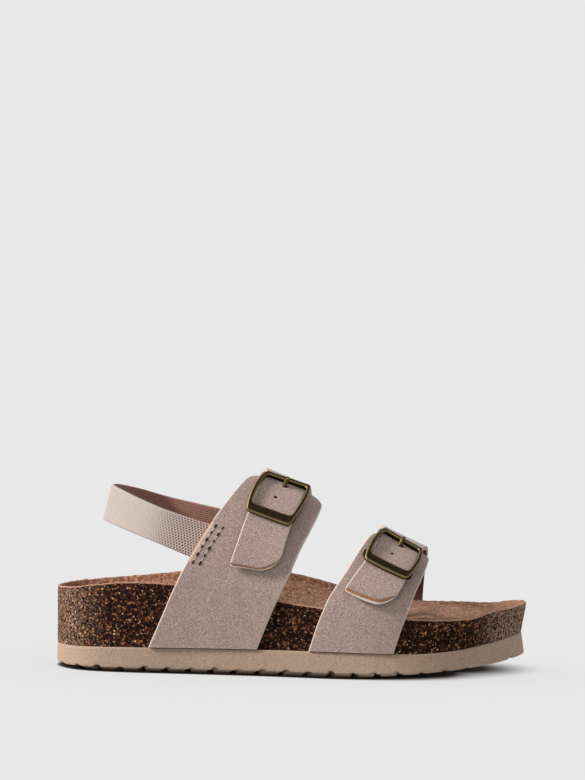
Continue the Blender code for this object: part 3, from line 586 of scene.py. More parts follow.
class Look:
    """A material and short ways to add nodes to it."""

    def __init__(self, name):
        self.material = bpy.data.materials.new(name)
        self.material.use_nodes = True
        self.tree = self.material.node_tree
        self.shader = self.tree.nodes["Principled BSDF"]
        self.place = self.add("ShaderNodeTexCoord").outputs["Object"]

    def add(self, kind, inputs=None, **settings):
        made = self.tree.nodes.new(kind)
        for key, value in settings.items():
            setattr(made, key, value)
        for key, value in (inputs or {}).items():
            self.put(made.inputs[key], value)
        return made

    def put(self, socket, value):
        if isinstance(value, bpy.types.NodeSocket):
            self.tree.links.new(value, socket)
        else:
            socket.default_value = (*value, 1.0) if socket.type == "RGBA" else value

    def noise(self, size, detail, rough):
        """Noise with lumps of a size in millimetres."""
        inputs = {"Scale": 1 / (size * METRE), "Detail": detail, "Roughness": rough, "Vector": self.place}
        return self.add("ShaderNodeTexNoise", inputs).outputs[0]

    def cells(self, size, output, place, feature="F1"):
        """Voronoi cells of a size in millimetres."""
        inputs = {"Scale": 1 / (size * METRE), "Vector": place}
        return self.add("ShaderNodeTexVoronoi", inputs, feature=feature).outputs[output]

    def math(self, operation, a, b=0.0):
        return self.add("ShaderNodeMath", {0: a, 1: b}, operation=operation).outputs[0]

    def times(self, a, b):
        return self.math("MULTIPLY", a, b)

    def plus(self, a, b):
        return self.math("ADD", a, b)

    def swing(self, value, size):
        """How far noise swings from its middle, scaled."""
        return self.times(self.math("SUBTRACT", value, 0.5), size)

    def between(self, value, low, high, start=0.0, end=1.0):
        inputs = {"Value": value, "From Min": low, "From Max": high, "To Min": start, "To Max": end}
        return self.add("ShaderNodeMapRange", inputs, interpolation_type="SMOOTHSTEP").outputs[0]

    def ramp(self, value, stops, stepped=False):
        """Colours by value; stops are (value, colour)."""
        made = self.add("ShaderNodeValToRGB", {"Fac": value})
        made.color_ramp.interpolation = "CONSTANT" if stepped else "LINEAR"
        elements = made.color_ramp.elements
        while len(elements) < len(stops):
            elements.new(0.5)
        for element, (at, colour) in zip(elements, stops):
            element.position = at
            element.color = (*colour, 1.0)
        return made.outputs["Color"]

    def mix(self, share, a, b):
        made = self.add("ShaderNodeMix", data_type="RGBA")
        for number, value in ((0, share), (6, a), (7, b)):
            self.put(made.inputs[number], value)
        return made.outputs[2]

    def tint(self, colour, tone, value, *limits):
        """A colour that turns to a tone between two limits of a value."""
        return self.mix(self.between(value, *limits), colour, tone)

    def value(self, name):
        """A value kept on the mesh's points."""
        return self.add("ShaderNodeAttribute", attribute_name=name).outputs["Fac"]

    def bump(self, height, strength, distance):
        inputs = {"Height": height, "Strength": strength, "Distance": distance * METRE}
        return self.add("ShaderNodeBump", inputs).outputs["Normal"]

    def finish(self, colour, rough, normal, specular):
        return self.set(Base_Color=colour, Roughness=rough, Normal=normal, Specular_IOR_Level=specular)

    def set(self, **sockets):
        for key, value in sockets.items():
            self.put(self.shader.inputs[key.replace("_", " ")], value)
        return self.material


def suede_look():
    """Taupe suede: a fine nap over soft patches, a painted highlight along its rounded edges, brown where
    it is cut thin.
    """
    look = Look("taupe_suede_nap")
    nap = look.noise(0.46, 3.0, 0.8)
    fibre = look.noise(0.3, 2.0, 0.6)
    patch = look.noise(5.0, 3.0, 0.55)
    naps = ((0.26, (0.088, 0.061, 0.052)), (0.45, (0.236, 0.17, 0.148)))
    naps += ((0.56, (0.32, 0.238, 0.209)), (0.76, (0.58, 0.474, 0.428)))
    colour = look.ramp(nap, naps)
    colour = look.tint(colour, (0.32, 0.231, 0.199), patch, 0.35, 0.68, 0.0, 0.25)
    frayed = look.swing(nap, 0.7)
    edge = look.plus(look.value("edge"), frayed)
    # painted highlight: the strap's rounded edges are painted paler, as where light catches them
    colour = look.tint(colour, (0.58, 0.49, 0.43), edge, 0.12, 0.5, 0.7, 0.0)
    raw = look.plus(look.value("raw"), look.times(frayed, 0.5))
    colour = look.tint(colour, (0.36, 0.25, 0.175), raw, 0.1, 0.25)
    skive = look.plus(look.value("skive"), look.times(frayed, 0.4))
    core = look.ramp(fibre, ((0.35, (0.2, 0.09, 0.042)), (0.65, (0.34, 0.175, 0.095))))
    colour = look.tint(colour, core, skive, 0.05, 0.18)
    colour = look.tint(colour, (0.56, 0.47, 0.39), skive, 0.64, 0.74)
    height = look.plus(nap, look.times(fibre, 0.5))
    normal = look.bump(height, 0.6, 0.2)
    look.finish(colour, 0.95, normal, 0.15)
    return look.set(Sheen_Weight=0.2, Sheen_Roughness=0.45, Sheen_Tint=(0.95, 0.9, 0.87))


def grain_look(name, grain, stops, rough, depth):
    """A plain grain in two tones: lining, cut edges and thread."""
    look = Look(name)
    height = look.noise(*grain)
    normal = look.bump(height, 0.4, depth)
    return look.finish(look.ramp(height, stops), rough, normal, 0.2)


def edge_look(name, dark, pale):
    """A cut edge of the strap, streaked by the knife."""
    return grain_look(name, (0.9, 3.0, 0.65), ((0.32, dark), (0.68, pale)), 0.9, 0.1)


def thread_look(name, dark, pale):
    """Sewing thread with its twist, and the near-black rods that paint the shade in the needle holes."""
    return grain_look(name, (0.3, 2.0, 0.6), ((0.35, dark), (0.65, pale)), 0.8, 0.08)


def eva_look():
    """Moulded foam: matte, with faint clouds and a fine pebbled grain."""
    look = Look("eva_foam")
    grain = look.noise(0.6, 2.0, 0.7)
    cloud = look.noise(9.0, 3.0, 0.5)
    colour = look.ramp(grain, ((0.3, (0.215, 0.145, 0.1)), (0.7, (0.34, 0.245, 0.178))))
    colour = look.tint(colour, (0.25, 0.172, 0.122), cloud, 0.3, 0.7, 0.0, 0.3)
    return look.finish(colour, 0.72, look.bump(grain, 0.4, 0.12), 0.3)


def cork_look():
    """Dark pressed cork: packed granules of brown and tan, with dust and a painted sheen at the heel and
    the toe, and painted shade between the straps.
    """
    look = Look("cork_granules")
    bent = look.add("ShaderNodeTexNoise", {"Vector": look.place, "Scale": 1500.0, "Detail": 2.0}).outputs[1]
    bent = look.add("ShaderNodeVectorMath", {0: bent, 1: (0.0008, 0.0008, 0.0008)}, operation="MULTIPLY")
    shifted = look.add("ShaderNodeVectorMath", {0: look.place, 1: bent.outputs[0]}, operation="ADD")
    place = shifted.outputs[0]
    tone = look.add("ShaderNodeSeparateColor", {"Color": look.cells(0.75, "Color", place)}).outputs[0]
    browns = ((0.0, (0.01, 0.005, 0.004)), (0.4, (0.025, 0.01, 0.007)))
    browns += ((0.68, (0.06, 0.021, 0.012)), (0.86, (0.12, 0.045, 0.023)))
    colour = look.ramp(tone, browns, stepped=True)
    tans = ((0.0, (0.16, 0.055, 0.02)), (0.45, (0.3, 0.13, 0.05)))
    tans += ((0.8, (0.46, 0.28, 0.14)), (1.0, (0.6, 0.45, 0.32)))
    # dust and painted sheen at the ends: more pale flecks and a pale veil; painted shade between the
    # straps: fewer pale flecks
    dust_sheen_and_shade = look.value("scuff_and_painted_light")
    for size, rarity in ((0.75, 0.87), (0.48, 0.88)):
        speck = look.add("ShaderNodeSeparateColor", {"Color": look.cells(size, "Color", place)})
        limit = look.math("SUBTRACT", rarity, look.times(dust_sheen_and_shade, 0.2))
        chosen = look.math("GREATER_THAN", speck.outputs[0], limit)
        near = look.between(look.cells(size, "Distance", place), 0.3, 0.55, 1.0, 0.0)
        colour = look.mix(look.times(chosen, near), colour, look.ramp(speck.outputs[1], tans))
    dust_and_sheen_patches = look.between(look.noise(0.9, 3.0, 0.75), 0.47, 0.55, 0.0, 0.8)
    colour = look.mix(look.times(dust_sheen_and_shade, dust_and_sheen_patches), colour, (0.34, 0.225, 0.168))
    rift = look.cells(0.6, "Distance", place, "DISTANCE_TO_EDGE")
    colour = look.tint(colour, (0.004, 0.002, 0.002), rift, 0.0, 0.1, 0.6, 0.0)
    height = look.plus(rift, look.noise(0.4, 3.0, 0.7))
    return look.finish(colour, 0.8, look.bump(height, 0.8, 0.25), 0.02)


def insole_look():
    """Brown suede of the footbed: a coarse, brushed nap."""
    look = Look("footbed_suede")
    nap = look.noise(1.4, 3.0, 0.8)
    fibre = look.noise(0.45, 2.0, 0.65)
    patch = look.noise(7.0, 3.0, 0.5)
    naps = ((0.29, (0.065, 0.022, 0.009)), (0.5, (0.24, 0.107, 0.058)), (0.71, (0.58, 0.33, 0.212)))
    colour = look.ramp(nap, naps)
    colour = look.tint(colour, (0.27, 0.13, 0.076), patch, 0.35, 0.7, 0.0, 0.25)
    colour = look.tint(colour, (0.1, 0.04, 0.02), fibre, 0.3, 0.7, 0.3, 0.0)
    frayed = look.swing(fibre, 0.8)
    edge = look.plus(look.value("edge"), frayed)
    colour = look.tint(colour, (0.46, 0.27, 0.18), edge, 0.0, 0.35, 0.5, 0.0)
    height = look.plus(nap, look.times(fibre, 0.4))
    look.finish(colour, 0.95, look.bump(height, 1.0, 0.8), 0.15)
    return look.set(Sheen_Weight=0.15, Sheen_Roughness=0.5, Sheen_Tint=(1.0, 0.8, 0.68))


def elastic_look(name, dark, mid, pale, bright, weave):
    """Woven elastic: ribs along it with painted shade in the grooves between them, and staggered crossings
    that open where it is pulled, with a painted highlight on the pulled threads.
    """
    look = Look(name)
    rib = look.times(look.value("rib"), math.pi)
    run = look.times(look.value("run"), 2 * math.pi / ELASTIC_WEAVE)
    crossing = look.times(look.math("COSINE", rib), look.math("COSINE", run))
    groove = look.math("ABSOLUTE", look.math("SINE", rib))
    pull = look.value("pull")
    open_weave = look.times(look.between(crossing, 0.1, 0.42), pull)
    thread = look.noise(0.35, 2.0, 0.6)
    colour = look.ramp(thread, ((0.3, mid), (0.7, pale)))
    # painted highlight: the threads are painted paler where the elastic is pulled
    colour = look.mix(look.times(pull, 0.7), colour, bright)
    # painted shade: darker lines in the grooves between the ribs
    colour = look.tint(colour, dark, groove, 0.0, 0.5, 0.28, 0.0)
    colour = look.mix(look.times(open_weave, weave), colour, dark)
    height = look.math("SUBTRACT", look.times(groove, 0.6), open_weave)
    look.finish(colour, 0.9, look.bump(height, 0.6, 0.14), 0.2)
    return look.set(Sheen_Weight=0.15, Sheen_Roughness=0.5)


def brass_look():
    """Antique brass: dark and streaked in its flats, worn and with painted highlights along its bevels,
    with painted shade on its inner walls.
    """
    look = Look("antique_brass_worn_painted_light")
    tarnish = look.noise(1.1, 4.0, 0.7)
    scratch = look.noise(0.35, 2.0, 0.6)
    lane = look.plus(look.times(look.value("face"), 7.0), look.times(tarnish, 1.5))
    streak = look.add("ShaderNodeTexNoise", {"W": lane, "Scale": 1.0, "Detail": 1.0}, noise_dimensions="1D")
    worn = look.swing(tarnish, 0.5)
    lines = look.swing(streak.outputs[0], 0.8)
    # wear and painted light: bright bevels are painted highlights, dark inner walls painted shade
    scuff_and_painted_light = look.plus(look.value("wear_and_painted_light"), look.plus(worn, lines))
    tones = ((0.0, (0.006, 0.004, 0.0015)), (0.2, (0.035, 0.022, 0.006)), (0.5, (0.086, 0.056, 0.02)))
    tones += ((0.8, (0.165, 0.114, 0.047)), (1.0, (0.28, 0.2, 0.105)))
    colour = look.ramp(scuff_and_painted_light, tones)
    rough = look.between(scratch, 0.3, 0.7, 0.42, 0.6)
    return look.set(Base_Color=colour, Metallic=0.9, Roughness=rough, Normal=look.bump(tarnish, 0.3, 0.08))


def floor_look():
    """Matte paper that glows as pale as the surroundings, apart from the shade under the shoe."""
    look = Look("floor_paper")
    look.set(Base_Color=(FLOOR_GREY, FLOOR_GREY, FLOOR_GREY), Roughness=1.0, Specular_IOR_Level=0.0)
    strength = look.times(look.value("glow"), BACKGROUND * (1 - FLOOR_GREY))
    return look.set(Emission_Color=(1.0, 1.0, 1.0), Emission_Strength=strength)


# Sole


def rib_wave(across):
    return RIB_WAVE * np.sin(2 * math.pi * across / RIB_WAVELENGTH)


def rib_depth(along, across):
    """1 in the middle of a groove between two ribs, 0 on a rib."""
    turn = (along - RIB_FIRST - rib_wave(across)) / RIB_PITCH
    off = np.abs(turn - np.round(turn)) * RIB_PITCH
    return 1 - ease(*GROOVE_SIDE, off)


def build_outsole(foam):
    """The moulded outsole: its side wall ends in a scalloped lip, and wavy ribs stand under it."""
    middle = np.sqrt(np.maximum(0.0, np.sin(math.pi * ALONG / SOLE_LENGTH)))
    ledge = SEAM - OUTSOLE_LEDGE * middle

    def wall(share, extra=0.0):
        return drawn_in(ledge - TOE_FLARE * (1 - share) * ALONG / SOLE_LENGTH + extra)

    def tread(flat, inset):
        share = 1 - ease(0.0, LIP_WIDTH, inset)
        flat = flat + np.outer((1 - share) * rib_wave(flat[:, 1]), (1.0, 0.0))
        rise = share * smooth(LIP_RISE, 1, flat[:, 0])
        number = np.round((flat[:, 0] - RIB_FIRST) / RIB_PITCH)
        scallop = SCALLOP[0] + SCALLOP[1] * np.sin(number * SCALLOP[2])
        depth = RIB_DEPTH + share * (scallop - RIB_DEPTH)
        groove = rib_depth(flat[:, 0], flat[:, 1]) * depth
        return loop(flat, outsole_bottom(flat[:, 0]) + rise + groove)

    loops = []
    for share in np.arange(TREAD_LOOPS) / TREAD_LOOPS:
        loops.append(tread(SPINE + (wall(0.0, LIP_WIDTH) - SPINE) * share, LIP_WIDTH))
    for inset in LIP_INSETS:
        loops.append(tread(wall(0.0, inset), inset))
    lip = tread(wall(0.0), 0.0)
    top = outsole_top(ALONG)
    for share in WALL_SHARES:
        loops.append(loop(wall(share), lip[:, 2] + (top - lip[:, 2]) * share))
    for extra, drop in WALL_TOP:
        loops.append(loop(wall(1.0, extra), top - drop))
    loops.append(loop(toward_rim(0.0), outsole_top(SPINE_ALONG)))
    points, faces = skin(loops)
    return dress(make_piece("outsole_foam", points, faces, [foam]), "eva", "outsole")


def footbed_height(share):
    along = toward_rim(share)[:, 0]
    floor = smooth(FOOTBED_FLOOR, 1, along)
    return floor + (RIM - floor) * smooth(DISH, 1, share)


def build_cork(cork):
    """The cork footbed, seen as a band between the outsole and the insole's edge."""
    seam = outsole_top(ALONG) + FACE_GAP
    top = RIM - INSOLE_EDGE - FACE_GAP
    loops = [loop(toward_rim(0.0), outsole_top(SPINE_ALONG) + FACE_GAP)]
    loops.append(loop(drawn_in(SEAM + CORK_INSETS[0]), seam))
    for share in np.linspace(0, 1, CORK_ROWS):
        loops.append(loop(drawn_in(SEAM * (1 - share)), seam + (top - seam) * share))
    loops[-1] = loop(drawn_in(CORK_INSETS[1]), top)
    for share in CORK_DISH:
        loops.append(loop(toward_rim(share), footbed_height(share) - INSOLE_EDGE - FACE_GAP))
    for one in loops[2 : 2 + CORK_ROWS]:
        one[:, :2] += OUTWARD * sum(wobble(one, *lumps) for lumps in CORK_LUMPS)[:, None]
    points, faces = skin(loops)
    # dust and painted sheen where the rim faces the heel or the toe, painted shade between the straps
    scuff_and_painted_light = ease(*END_TURN, np.abs(OUTWARD[:, 0])) * np.where(OUTWARD[:, 0] > 0, *END_DUST_AND_SHEEN)
    scuff_and_painted_light -= WAIST_PAINTED_SHADE * ease(*WAIST_REAR, ALONG) * (1 - ease(*WAIST_FRONT, ALONG))
    values = {"scuff_and_painted_light": np.tile(scuff_and_painted_light, len(loops))}
    return dress(make_piece("cork_band", points, faces, [cork], values=values), "cork", "cork_footbed")


def build_insole(suede):
    """The suede sheet on the footbed, with a slightly ragged cut edge along the rim."""
    loops, edge = [], []

    def add(flat, height, distance):
        loops.append(loop(flat, height))
        edge.append(np.full(RING_POINTS, distance))

    for share in INSOLE_UNDER:
        add(toward_rim(share), footbed_height(share) - INSOLE_EDGE, FAR_FROM_EDGE)
    for inset, drop in INSOLE_SIDE:
        add(drawn_in(inset), RIM - drop, 0.0)
    for inset in INSOLE_BRIM:
        add(drawn_in(inset), RIM - INSOLE_BRIM_DROP, inset)
    for share in INSOLE_TOP:
        add(toward_rim(share), footbed_height(share), FAR_FROM_EDGE)
    for one in loops[len(INSOLE_UNDER) :]:
        one[:, 2] += sum(wobble(one, *lumps) for lumps in INSOLE_LUMPS)
    points, faces = skin(loops)
    values = {"edge": np.concatenate(edge)}
    piece = make_piece("insole_suede", points, faces, [suede], values=values, sharp=75)
    return dress(piece, "suede_lining", "insole")


# Straps


def corner_inset(distance, radius):
    """How far a rounded corner or edge cuts in, at distances from its brink."""
    short = np.minimum(distance, radius)
    return radius - np.sqrt(np.maximum(0.0, radius**2 - (radius - short) ** 2))


def strap_levels(table, end, far, radius):
    """Levels from a strap's rounded end to its far end: close together at the corners, then even."""
    away = 1.0 if far > end else -1.0
    reach = away * level_step(strap_middle(table, end), end) * radius
    turns = np.radians(np.linspace(0, 90, CORNER_ROWS))
    near = end + reach * (1 - np.cos(turns))
    rest = np.linspace(near[-1], far, STRAP_FINE)
    run = run_along(last(strap_middle(table, rest), rest))
    count = int(run[-1] / STRAP_STEP)
    return np.concatenate([near, np.interp(np.linspace(0, run[-1], count), run, rest)[1:]])


def tip_skive(rear_gap, front_gap, away, corners, reach):
    """1 at the brink of a strap's rounded end, 0 from a reach inside it that narrows round its corners."""
    small = 1e-6
    near = np.broadcast_to(away, rear_gap.shape)
    square = np.ones(rear_gap.shape)
    for gap, radius in zip((rear_gap, front_gap), corners):
        aside = np.maximum(0.0, radius - gap)
        behind = np.maximum(0.0, radius - near)
        off = np.maximum(np.hypot(aside, behind), small)
        near = np.where(aside > 0, radius - off, near)
        square = np.where(aside > 0, behind / off, square)
    return np.clip(1 - near / np.maximum(reach * ease(*SKIVE_CORNER, square), small), 0, 1)


def raw_edge(grid):
    """1 along the stretch of a strap's rear edge that is cut raw, fading to 0 inside it."""
    window = ease(0, RAW_FADE, grid.levels - RAW_LEVELS[0]) * ease(0, RAW_FADE, RAW_LEVELS[1] - grid.levels)
    return window * np.clip(1 - grid.from_rear / RAW_WIDTH, 0, 1)


def strap_grid(table, end, far, corners, tip_rise):
    """Places on a strap half: rows of points from its rounded end to its far end, close at the edges."""
    levels = strap_levels(table, end, far, max(corners))
    rear, front = strap_value(table, 1, levels), strap_value(table, 2, levels)
    straight = (rear[:, None], front[:, None])
    steps = level_step((rear + front) / 2, np.clip(levels, *LEVEL_LIMITS))
    distance = np.abs(levels - end) / steps
    rear = rear + corner_inset(distance, corners[0])
    front = front - corner_inset(distance, corners[1])
    width = (front - rear)[:, None]
    inside = np.linspace(0, 1, STRAP_COLUMNS)[1:-1]
    shares = [np.array(STRAP_BRINK) / w for w in width]
    shares = np.array([np.concatenate([s, s[-1] + (1 - 2 * s[-1]) * inside, 1 - s[::-1]]) for s in shares])
    along = rear[:, None] + width * shares
    fade = np.maximum(0.0, 1 - np.abs(levels - end) / steps / TIP_FADE)
    level = levels[:, None] + tip_rise * (steps * fade)[:, None] * (1 - shares) ** TIP_POWER
    lift = strap_value(table, 3, levels) if len(table[0]) > 3 else np.zeros(len(levels))
    side = np.minimum(shares, 1 - shares) * width
    end_gap = np.minimum(distance, np.abs(levels - far) / steps + FAR_END_ROOM)
    return SimpleNamespace(
        levels=levels[:, None],
        along=along,
        level=level,
        base=np.broadcast_to(lift[:, None], along.shape),
        brim=np.minimum(side, end_gap[:, None]),
        from_rear=shares * width,
        tip_gaps=(along - straight[0], straight[1] - along, distance[:, None]),
    )


def strap_mesh(grid, under, over, thickness):
    """Points, faces and material numbers of a strap: two sides, and an edge in three ragged layers."""
    faces, numbers, border = sheet(*grid.along.shape)
    size, around = grid.along.size, len(border)
    fields = (grid.along, grid.level, grid.base, thickness)
    along, level, base, thick = (field.ravel()[border] for field in fields)
    rag = wobble(lifted(along, level, base), *EDGE_LUMPS)
    points = [under.reshape(-1, 3), over.reshape(-1, 3)]
    for height in (LINING_EDGE, CORE_EDGE):
        points.append(lifted(along, level, base + (height + rag) * (thick / STRAP_THICKNESS)))
    lower = 2 * size + np.arange(around)
    chain = (border, lower, lower + around, size + border)
    for low, high, number in zip(chain, chain[1:], (2, 3, 0)):
        faces += band(low, high)
        numbers += [number] * around
    return np.concatenate(points), faces, numbers, border


def build_strap(name, node, grid, looks, skive, raw):
    """A suede strap half with rounded edges and a lining, its tip thinned or its rear edge cut raw."""
    dip = corner_inset(grid.brim, ROUND_TOP) * (1 - ease(0.0, SKIVE_FLAT, skive)) * (1 - raw)
    thickness = STRAP_THICKNESS - SKIVE_DROP * skive - RAW_DROP * raw
    sway = wobble(lifted(grid.along, grid.level, grid.base), *STRAP_LUMPS) * ease(0.0, SWAY_FADE, grid.brim)
    under = lifted(grid.along, grid.level, grid.base + corner_inset(grid.brim, ROUND_UNDER))
    over = lifted(grid.along, grid.level, grid.base + thickness - dip + sway)
    points, faces, numbers, border = strap_mesh(grid, under, over, thickness)
    size = grid.along.size
    values = {}
    for key, plain, brow in (("edge", FAR_FROM_EDGE, grid.brim), ("skive", 0.0, skive), ("raw", 0.0, raw)):
        column = np.full(len(points), plain)
        column[size : 2 * size] = brow.ravel()
        column[2 * size :] = np.tile(brow.ravel()[border], 2)
        values[key] = column
    piece = make_piece(name, points, faces, looks, numbers, values)
    return dress(piece, "taupe_suede", node)


def punch(piece, space, width, length, radius, points_round):
    """An uneven hole through the strap's end."""
    top = space.tab_top(length)
    turns = np.arange(points_round) * 2 * math.pi / points_round
    uneven = sum(part * np.sin(waves * turns + start) for part, waves, start in HOLE_UNEVEN)
    size = radius * (HOLE_MEAN + uneven)
    spots = (width + size * np.cos(turns), length + size * np.sin(turns))
    heights = (top - STRAP_THICKNESS - PUNCH_ROOM[0], top + PUNCH_ROOM[1])
    loops = [space.point(*spots, height) for height in heights]
    points, faces = skin(loops, capped=True)
    cutter = make_piece(piece.name + "_punch", points, faces, [])
    cutter.data.polygons.foreach_set("material_index", np.full(len(faces), 1, np.int32))
    modifier = piece.modifiers.new("punch", "BOOLEAN")
    modifier.operation = "DIFFERENCE"
    modifier.solver = "EXACT"
    modifier.object = cutter
    bpy.context.view_layer.update()
    shape = bpy.data.meshes.new_from_object(piece.evaluated_get(bpy.context.evaluated_depsgraph_get()))
    piece.modifiers.clear()
    piece.data = shape
    bpy.data.objects.remove(cutter)


# Buckles


class BuckleSpace:
    """The strap's own directions at a buckle: width across it, length along it, height above the last."""

    def __init__(self, table, levels, slants, lean, half_width):
        self.table, self.levels, self.slants = table, levels, slants
        self.lean, self.half_width = lean, half_width
        self.span = BUCKLE_HALF_LENGTH * 2 - BUCKLE_WIDE_BAR / 2 - BUCKLE_TOP_BAR / 2
        self.low = -BUCKLE_HALF_LENGTH + BUCKLE_WIDE_BAR / 2

    def share(self, length):
        return (np.asarray(length, float) - self.low) / self.span

    def level(self, length):
        return self.levels[0] + self.share(length) * (self.levels[1] - self.levels[0])

    def tab_top(self, length):
        return strap_value(self.table, 3, self.level(length)) + STRAP_THICKNESS

    def stretch(self, level):
        middle = strap_middle(self.table, level)
        return np.linalg.norm(last(middle + 1, level) - last(middle - 1, level), axis=-1) / 2

    def tab_half(self, length):
        level = self.level(length)
        width = strap_value(self.table, 2, level) - strap_value(self.table, 1, level)
        return width / 2 * self.stretch(level)

    def point(self, width, length, height):
        level = self.level(length)
        slant = self.slants[0] + self.share(length) * (self.slants[1] - self.slants[0])
        aside = width + self.lean * np.asarray(length, float)
        along = strap_middle(self.table, level) + aside / self.stretch(level)
        return lifted(along, level - slant * aside, height)


def rounded_loop(half_width, half_length, middle, radius):
    """A rectangle with rounded corners and bowed sides, as arrays of widths and lengths."""
    centres = np.array(((1, 1), (-1, 1), (-1, -1), (1, -1))) * (half_width - radius, half_length - radius)
    shares = np.linspace(0, 1, BUCKLE_SIDE_STEPS)[1:-1]
    pairs = []
    for number, (centre, ahead) in enumerate(zip(centres, np.roll(centres, -1, axis=0))):
        turns = np.linspace(number, number + 1, BUCKLE_CORNER_STEPS) * math.pi / 2
        pairs.extend(centre + radius * np.column_stack([np.cos(turns), np.sin(turns)]))
        pairs.extend(pairs[-1] + np.outer(shares, ahead - centre))
    pairs = np.array(pairs)
    length = middle + pairs[:, 1]
    bow = 1 + BUCKLE_BOW * (1 - (length / BUCKLE_HALF_LENGTH) ** 2)
    return pairs[:, 0] * bow, length


def hinge_bar(space):
    """The bar that the prong turns on: down beside the strap's end, under it and up again."""
    inside = float(space.tab_top(HINGE_PLACE)) + GAP + BUCKLE_HEIGHT / 2
    below = STRAP_THICKNESS + GAP + HINGE_RADIUS
    reach = float(space.tab_half(HINGE_PLACE)) + GAP + HINGE_RADIUS
    path = [(-reach, inside), (-reach, below + HINGE_BEND[1]), (HINGE_BEND[0] - reach, below)]
    path += [(width, below) for width in HINGE_STOPS]
    path += [(-width - HINGE_TUCK, height) for width, height in path[2::-1]]
    aside = space.lean * HINGE_PLACE
    route = evenly(np.array([space.point(w - aside, HINGE_PLACE, h) for w, h in path]), ROD_STATIONS)
    return tube(route, HINGE_RADIUS, HINGE_SIDES)


def build_buckle(name, node, space, brass):
    """A cast frame with flat, bevelled bars, a wide lower bar and the hinge bar under the strap's end."""
    inner_half = BUCKLE_HALF_LENGTH - (BUCKLE_WIDE_BAR + BUCKLE_TOP_BAR) / 2
    inner_middle = (BUCKLE_WIDE_BAR - BUCKLE_TOP_BAR) / 2
    outer_edge = (space.half_width, BUCKLE_HALF_LENGTH, 0.0, BUCKLE_CORNER)
    inner_edge = (space.half_width - BUCKLE_SIDE_BAR, inner_half, inner_middle, BUCKLE_INNER_CORNER)
    loops, wear_and_painted_light, face = [], [], []
    for edge, profile in ((outer_edge, OUTER_PROFILE), (inner_edge, INNER_PROFILE)):
        wide, long, centre, radius = edge
        # the profile's last column is wear and painted light: painted highlights on the bevels, painted
        # shade on the inner walls
        for inset, height, scuff_and_painted_light in profile:
            width, length = rounded_loop(wide - inset, long - inset, centre, radius - inset)
            loops.append(space.point(width, length, space.tab_top(length) + GAP + height))
            wear_and_painted_light.append(np.full(len(width), scuff_and_painted_light))
            face.append(np.full(len(width), float(edge is inner_edge)))
    points, faces = skin(loops + loops[:1])
    wear_and_painted_light.append(wear_and_painted_light[0])
    face.append(face[0])
    frame_size = len(points)
    points, faces = gather([(points, faces), hinge_bar(space)])
    bar_size = len(points) - frame_size
    values = {"wear_and_painted_light": np.concatenate(wear_and_painted_light + [np.full(bar_size, HINGE_WEAR)])}
    values["face"] = np.concatenate(face + [np.zeros(bar_size)])
    piece = make_piece(name, points, faces, [brass], values=values, sharp=32)
    return dress(piece, "antique_brass", node)


def build_prong(name, node, space, brass):
    """The prong: from the hinge bar, up through the strap's hole and over the top bar."""
    rest = BUCKLE_HALF_LENGTH - BUCKLE_TOP_BAR / 2
    over = float(space.tab_top(rest)) + GAP + BUCKLE_HEIGHT + PRONG_RADIUS - PRONG_SINK
    below = STRAP_THICKNESS + GAP + PRONG_RADIUS
    through_hole = float(space.tab_top(PRONG_HOLE_PLACE)) - STRAP_THICKNESS / 2
    climb = through_hole - below
    route = (  # length, height
        (HINGE_PLACE + HINGE_RADIUS + 0.1, below),
        (-2.0, below),
        (PRONG_HOLE_PLACE - 0.7, below),
        (PRONG_HOLE_PLACE + 0.1, through_hole),
        (PRONG_HOLE_PLACE + 0.6, through_hole + climb),
        (rest - 1.3, over - 0.1),
        (rest - 0.9, over - 0.25),
    )
    path = through([space.point(0.0, length, height) for length, height in route], ROD_STATIONS)
    points, faces = tube(path, PRONG_RADIUS, PRONG_SIDES, rounded=True)
    values = {"wear_and_painted_light": np.full(len(points), PRONG_WEAR), "face": np.zeros(len(points))}
    piece = make_piece(name, points, faces, [brass], values=values, sharp=60)
    return dress(piece, "antique_brass", node)


def build_strap_pair(name, outer_table, inner_table, tip, thinned, buckle, is_raw, looks, brass):
    """The two halves of a strap, its buckle and the buckle's prong."""
    grid = strap_grid(outer_table, OUTER_END_LEVEL, 0.0, OUTER_CORNERS, 0.0)
    plain = np.zeros(grid.along.shape)
    raw = raw_edge(grid) if is_raw else plain
    build_strap(f"{name}_strap_outer_suede", f"{name}_strap_outer", grid, looks, plain, raw)
    tip_rise, tip_corner = tip
    corners = (TAB_CORNER_REAR, tip_corner)
    grid = strap_grid(inner_table, inner_table[0][0], FAR_LEVEL, corners, tip_rise)
    skive = tip_skive(*grid.tip_gaps, corners, thinned)
    plain = np.zeros(grid.along.shape)
    inner = build_strap(f"{name}_strap_inner_suede", f"{name}_strap_inner", grid, looks, skive, plain)
    space = BuckleSpace(inner_table, **buckle)
    punch(inner, space, *PRONG_HOLE)
    punch(inner, space, *SPARE_HOLE)
    build_buckle(f"{name}_buckle_cast", f"{name}_buckle", space, brass)
    build_prong(f"{name}_prong_wire", f"{name}_prong", space, brass)


# Elastic and stitches


def sewn_point(inner, level, forward, height):
    """A point in front of the instep strap's rear edge, on the outer or the inner side, above the last."""
    table = INSTEP_INNER if inner else INSTEP_OUTER
    level = FAR_LEVEL - level - ELASTIC_INNER_LEVEL_RISE if inner else level
    return lifted(strap_value(table, 1, level) + forward, level, height)


def elastic_middle(turn):
    """A point of the free loop's middle line, by degrees round the heel."""
    c, s = math.cos(math.radians(turn)), math.sin(math.radians(turn))
    along = ELASTIC_FRONT - (ELASTIC_FRONT - ELASTIC_BACK) * c
    across = ELASTIC_HALF_SPAN * math.copysign(abs(s) ** ELASTIC_POINT, s)
    drop = (ELASTIC_BACK_HEIGHT - ELASTIC_FRONT_HEIGHT) * (1 - c)
    return np.array([along, across, ELASTIC_BACK_HEIGHT - drop + ELASTIC_INNER_RISE * max(0.0, s)])


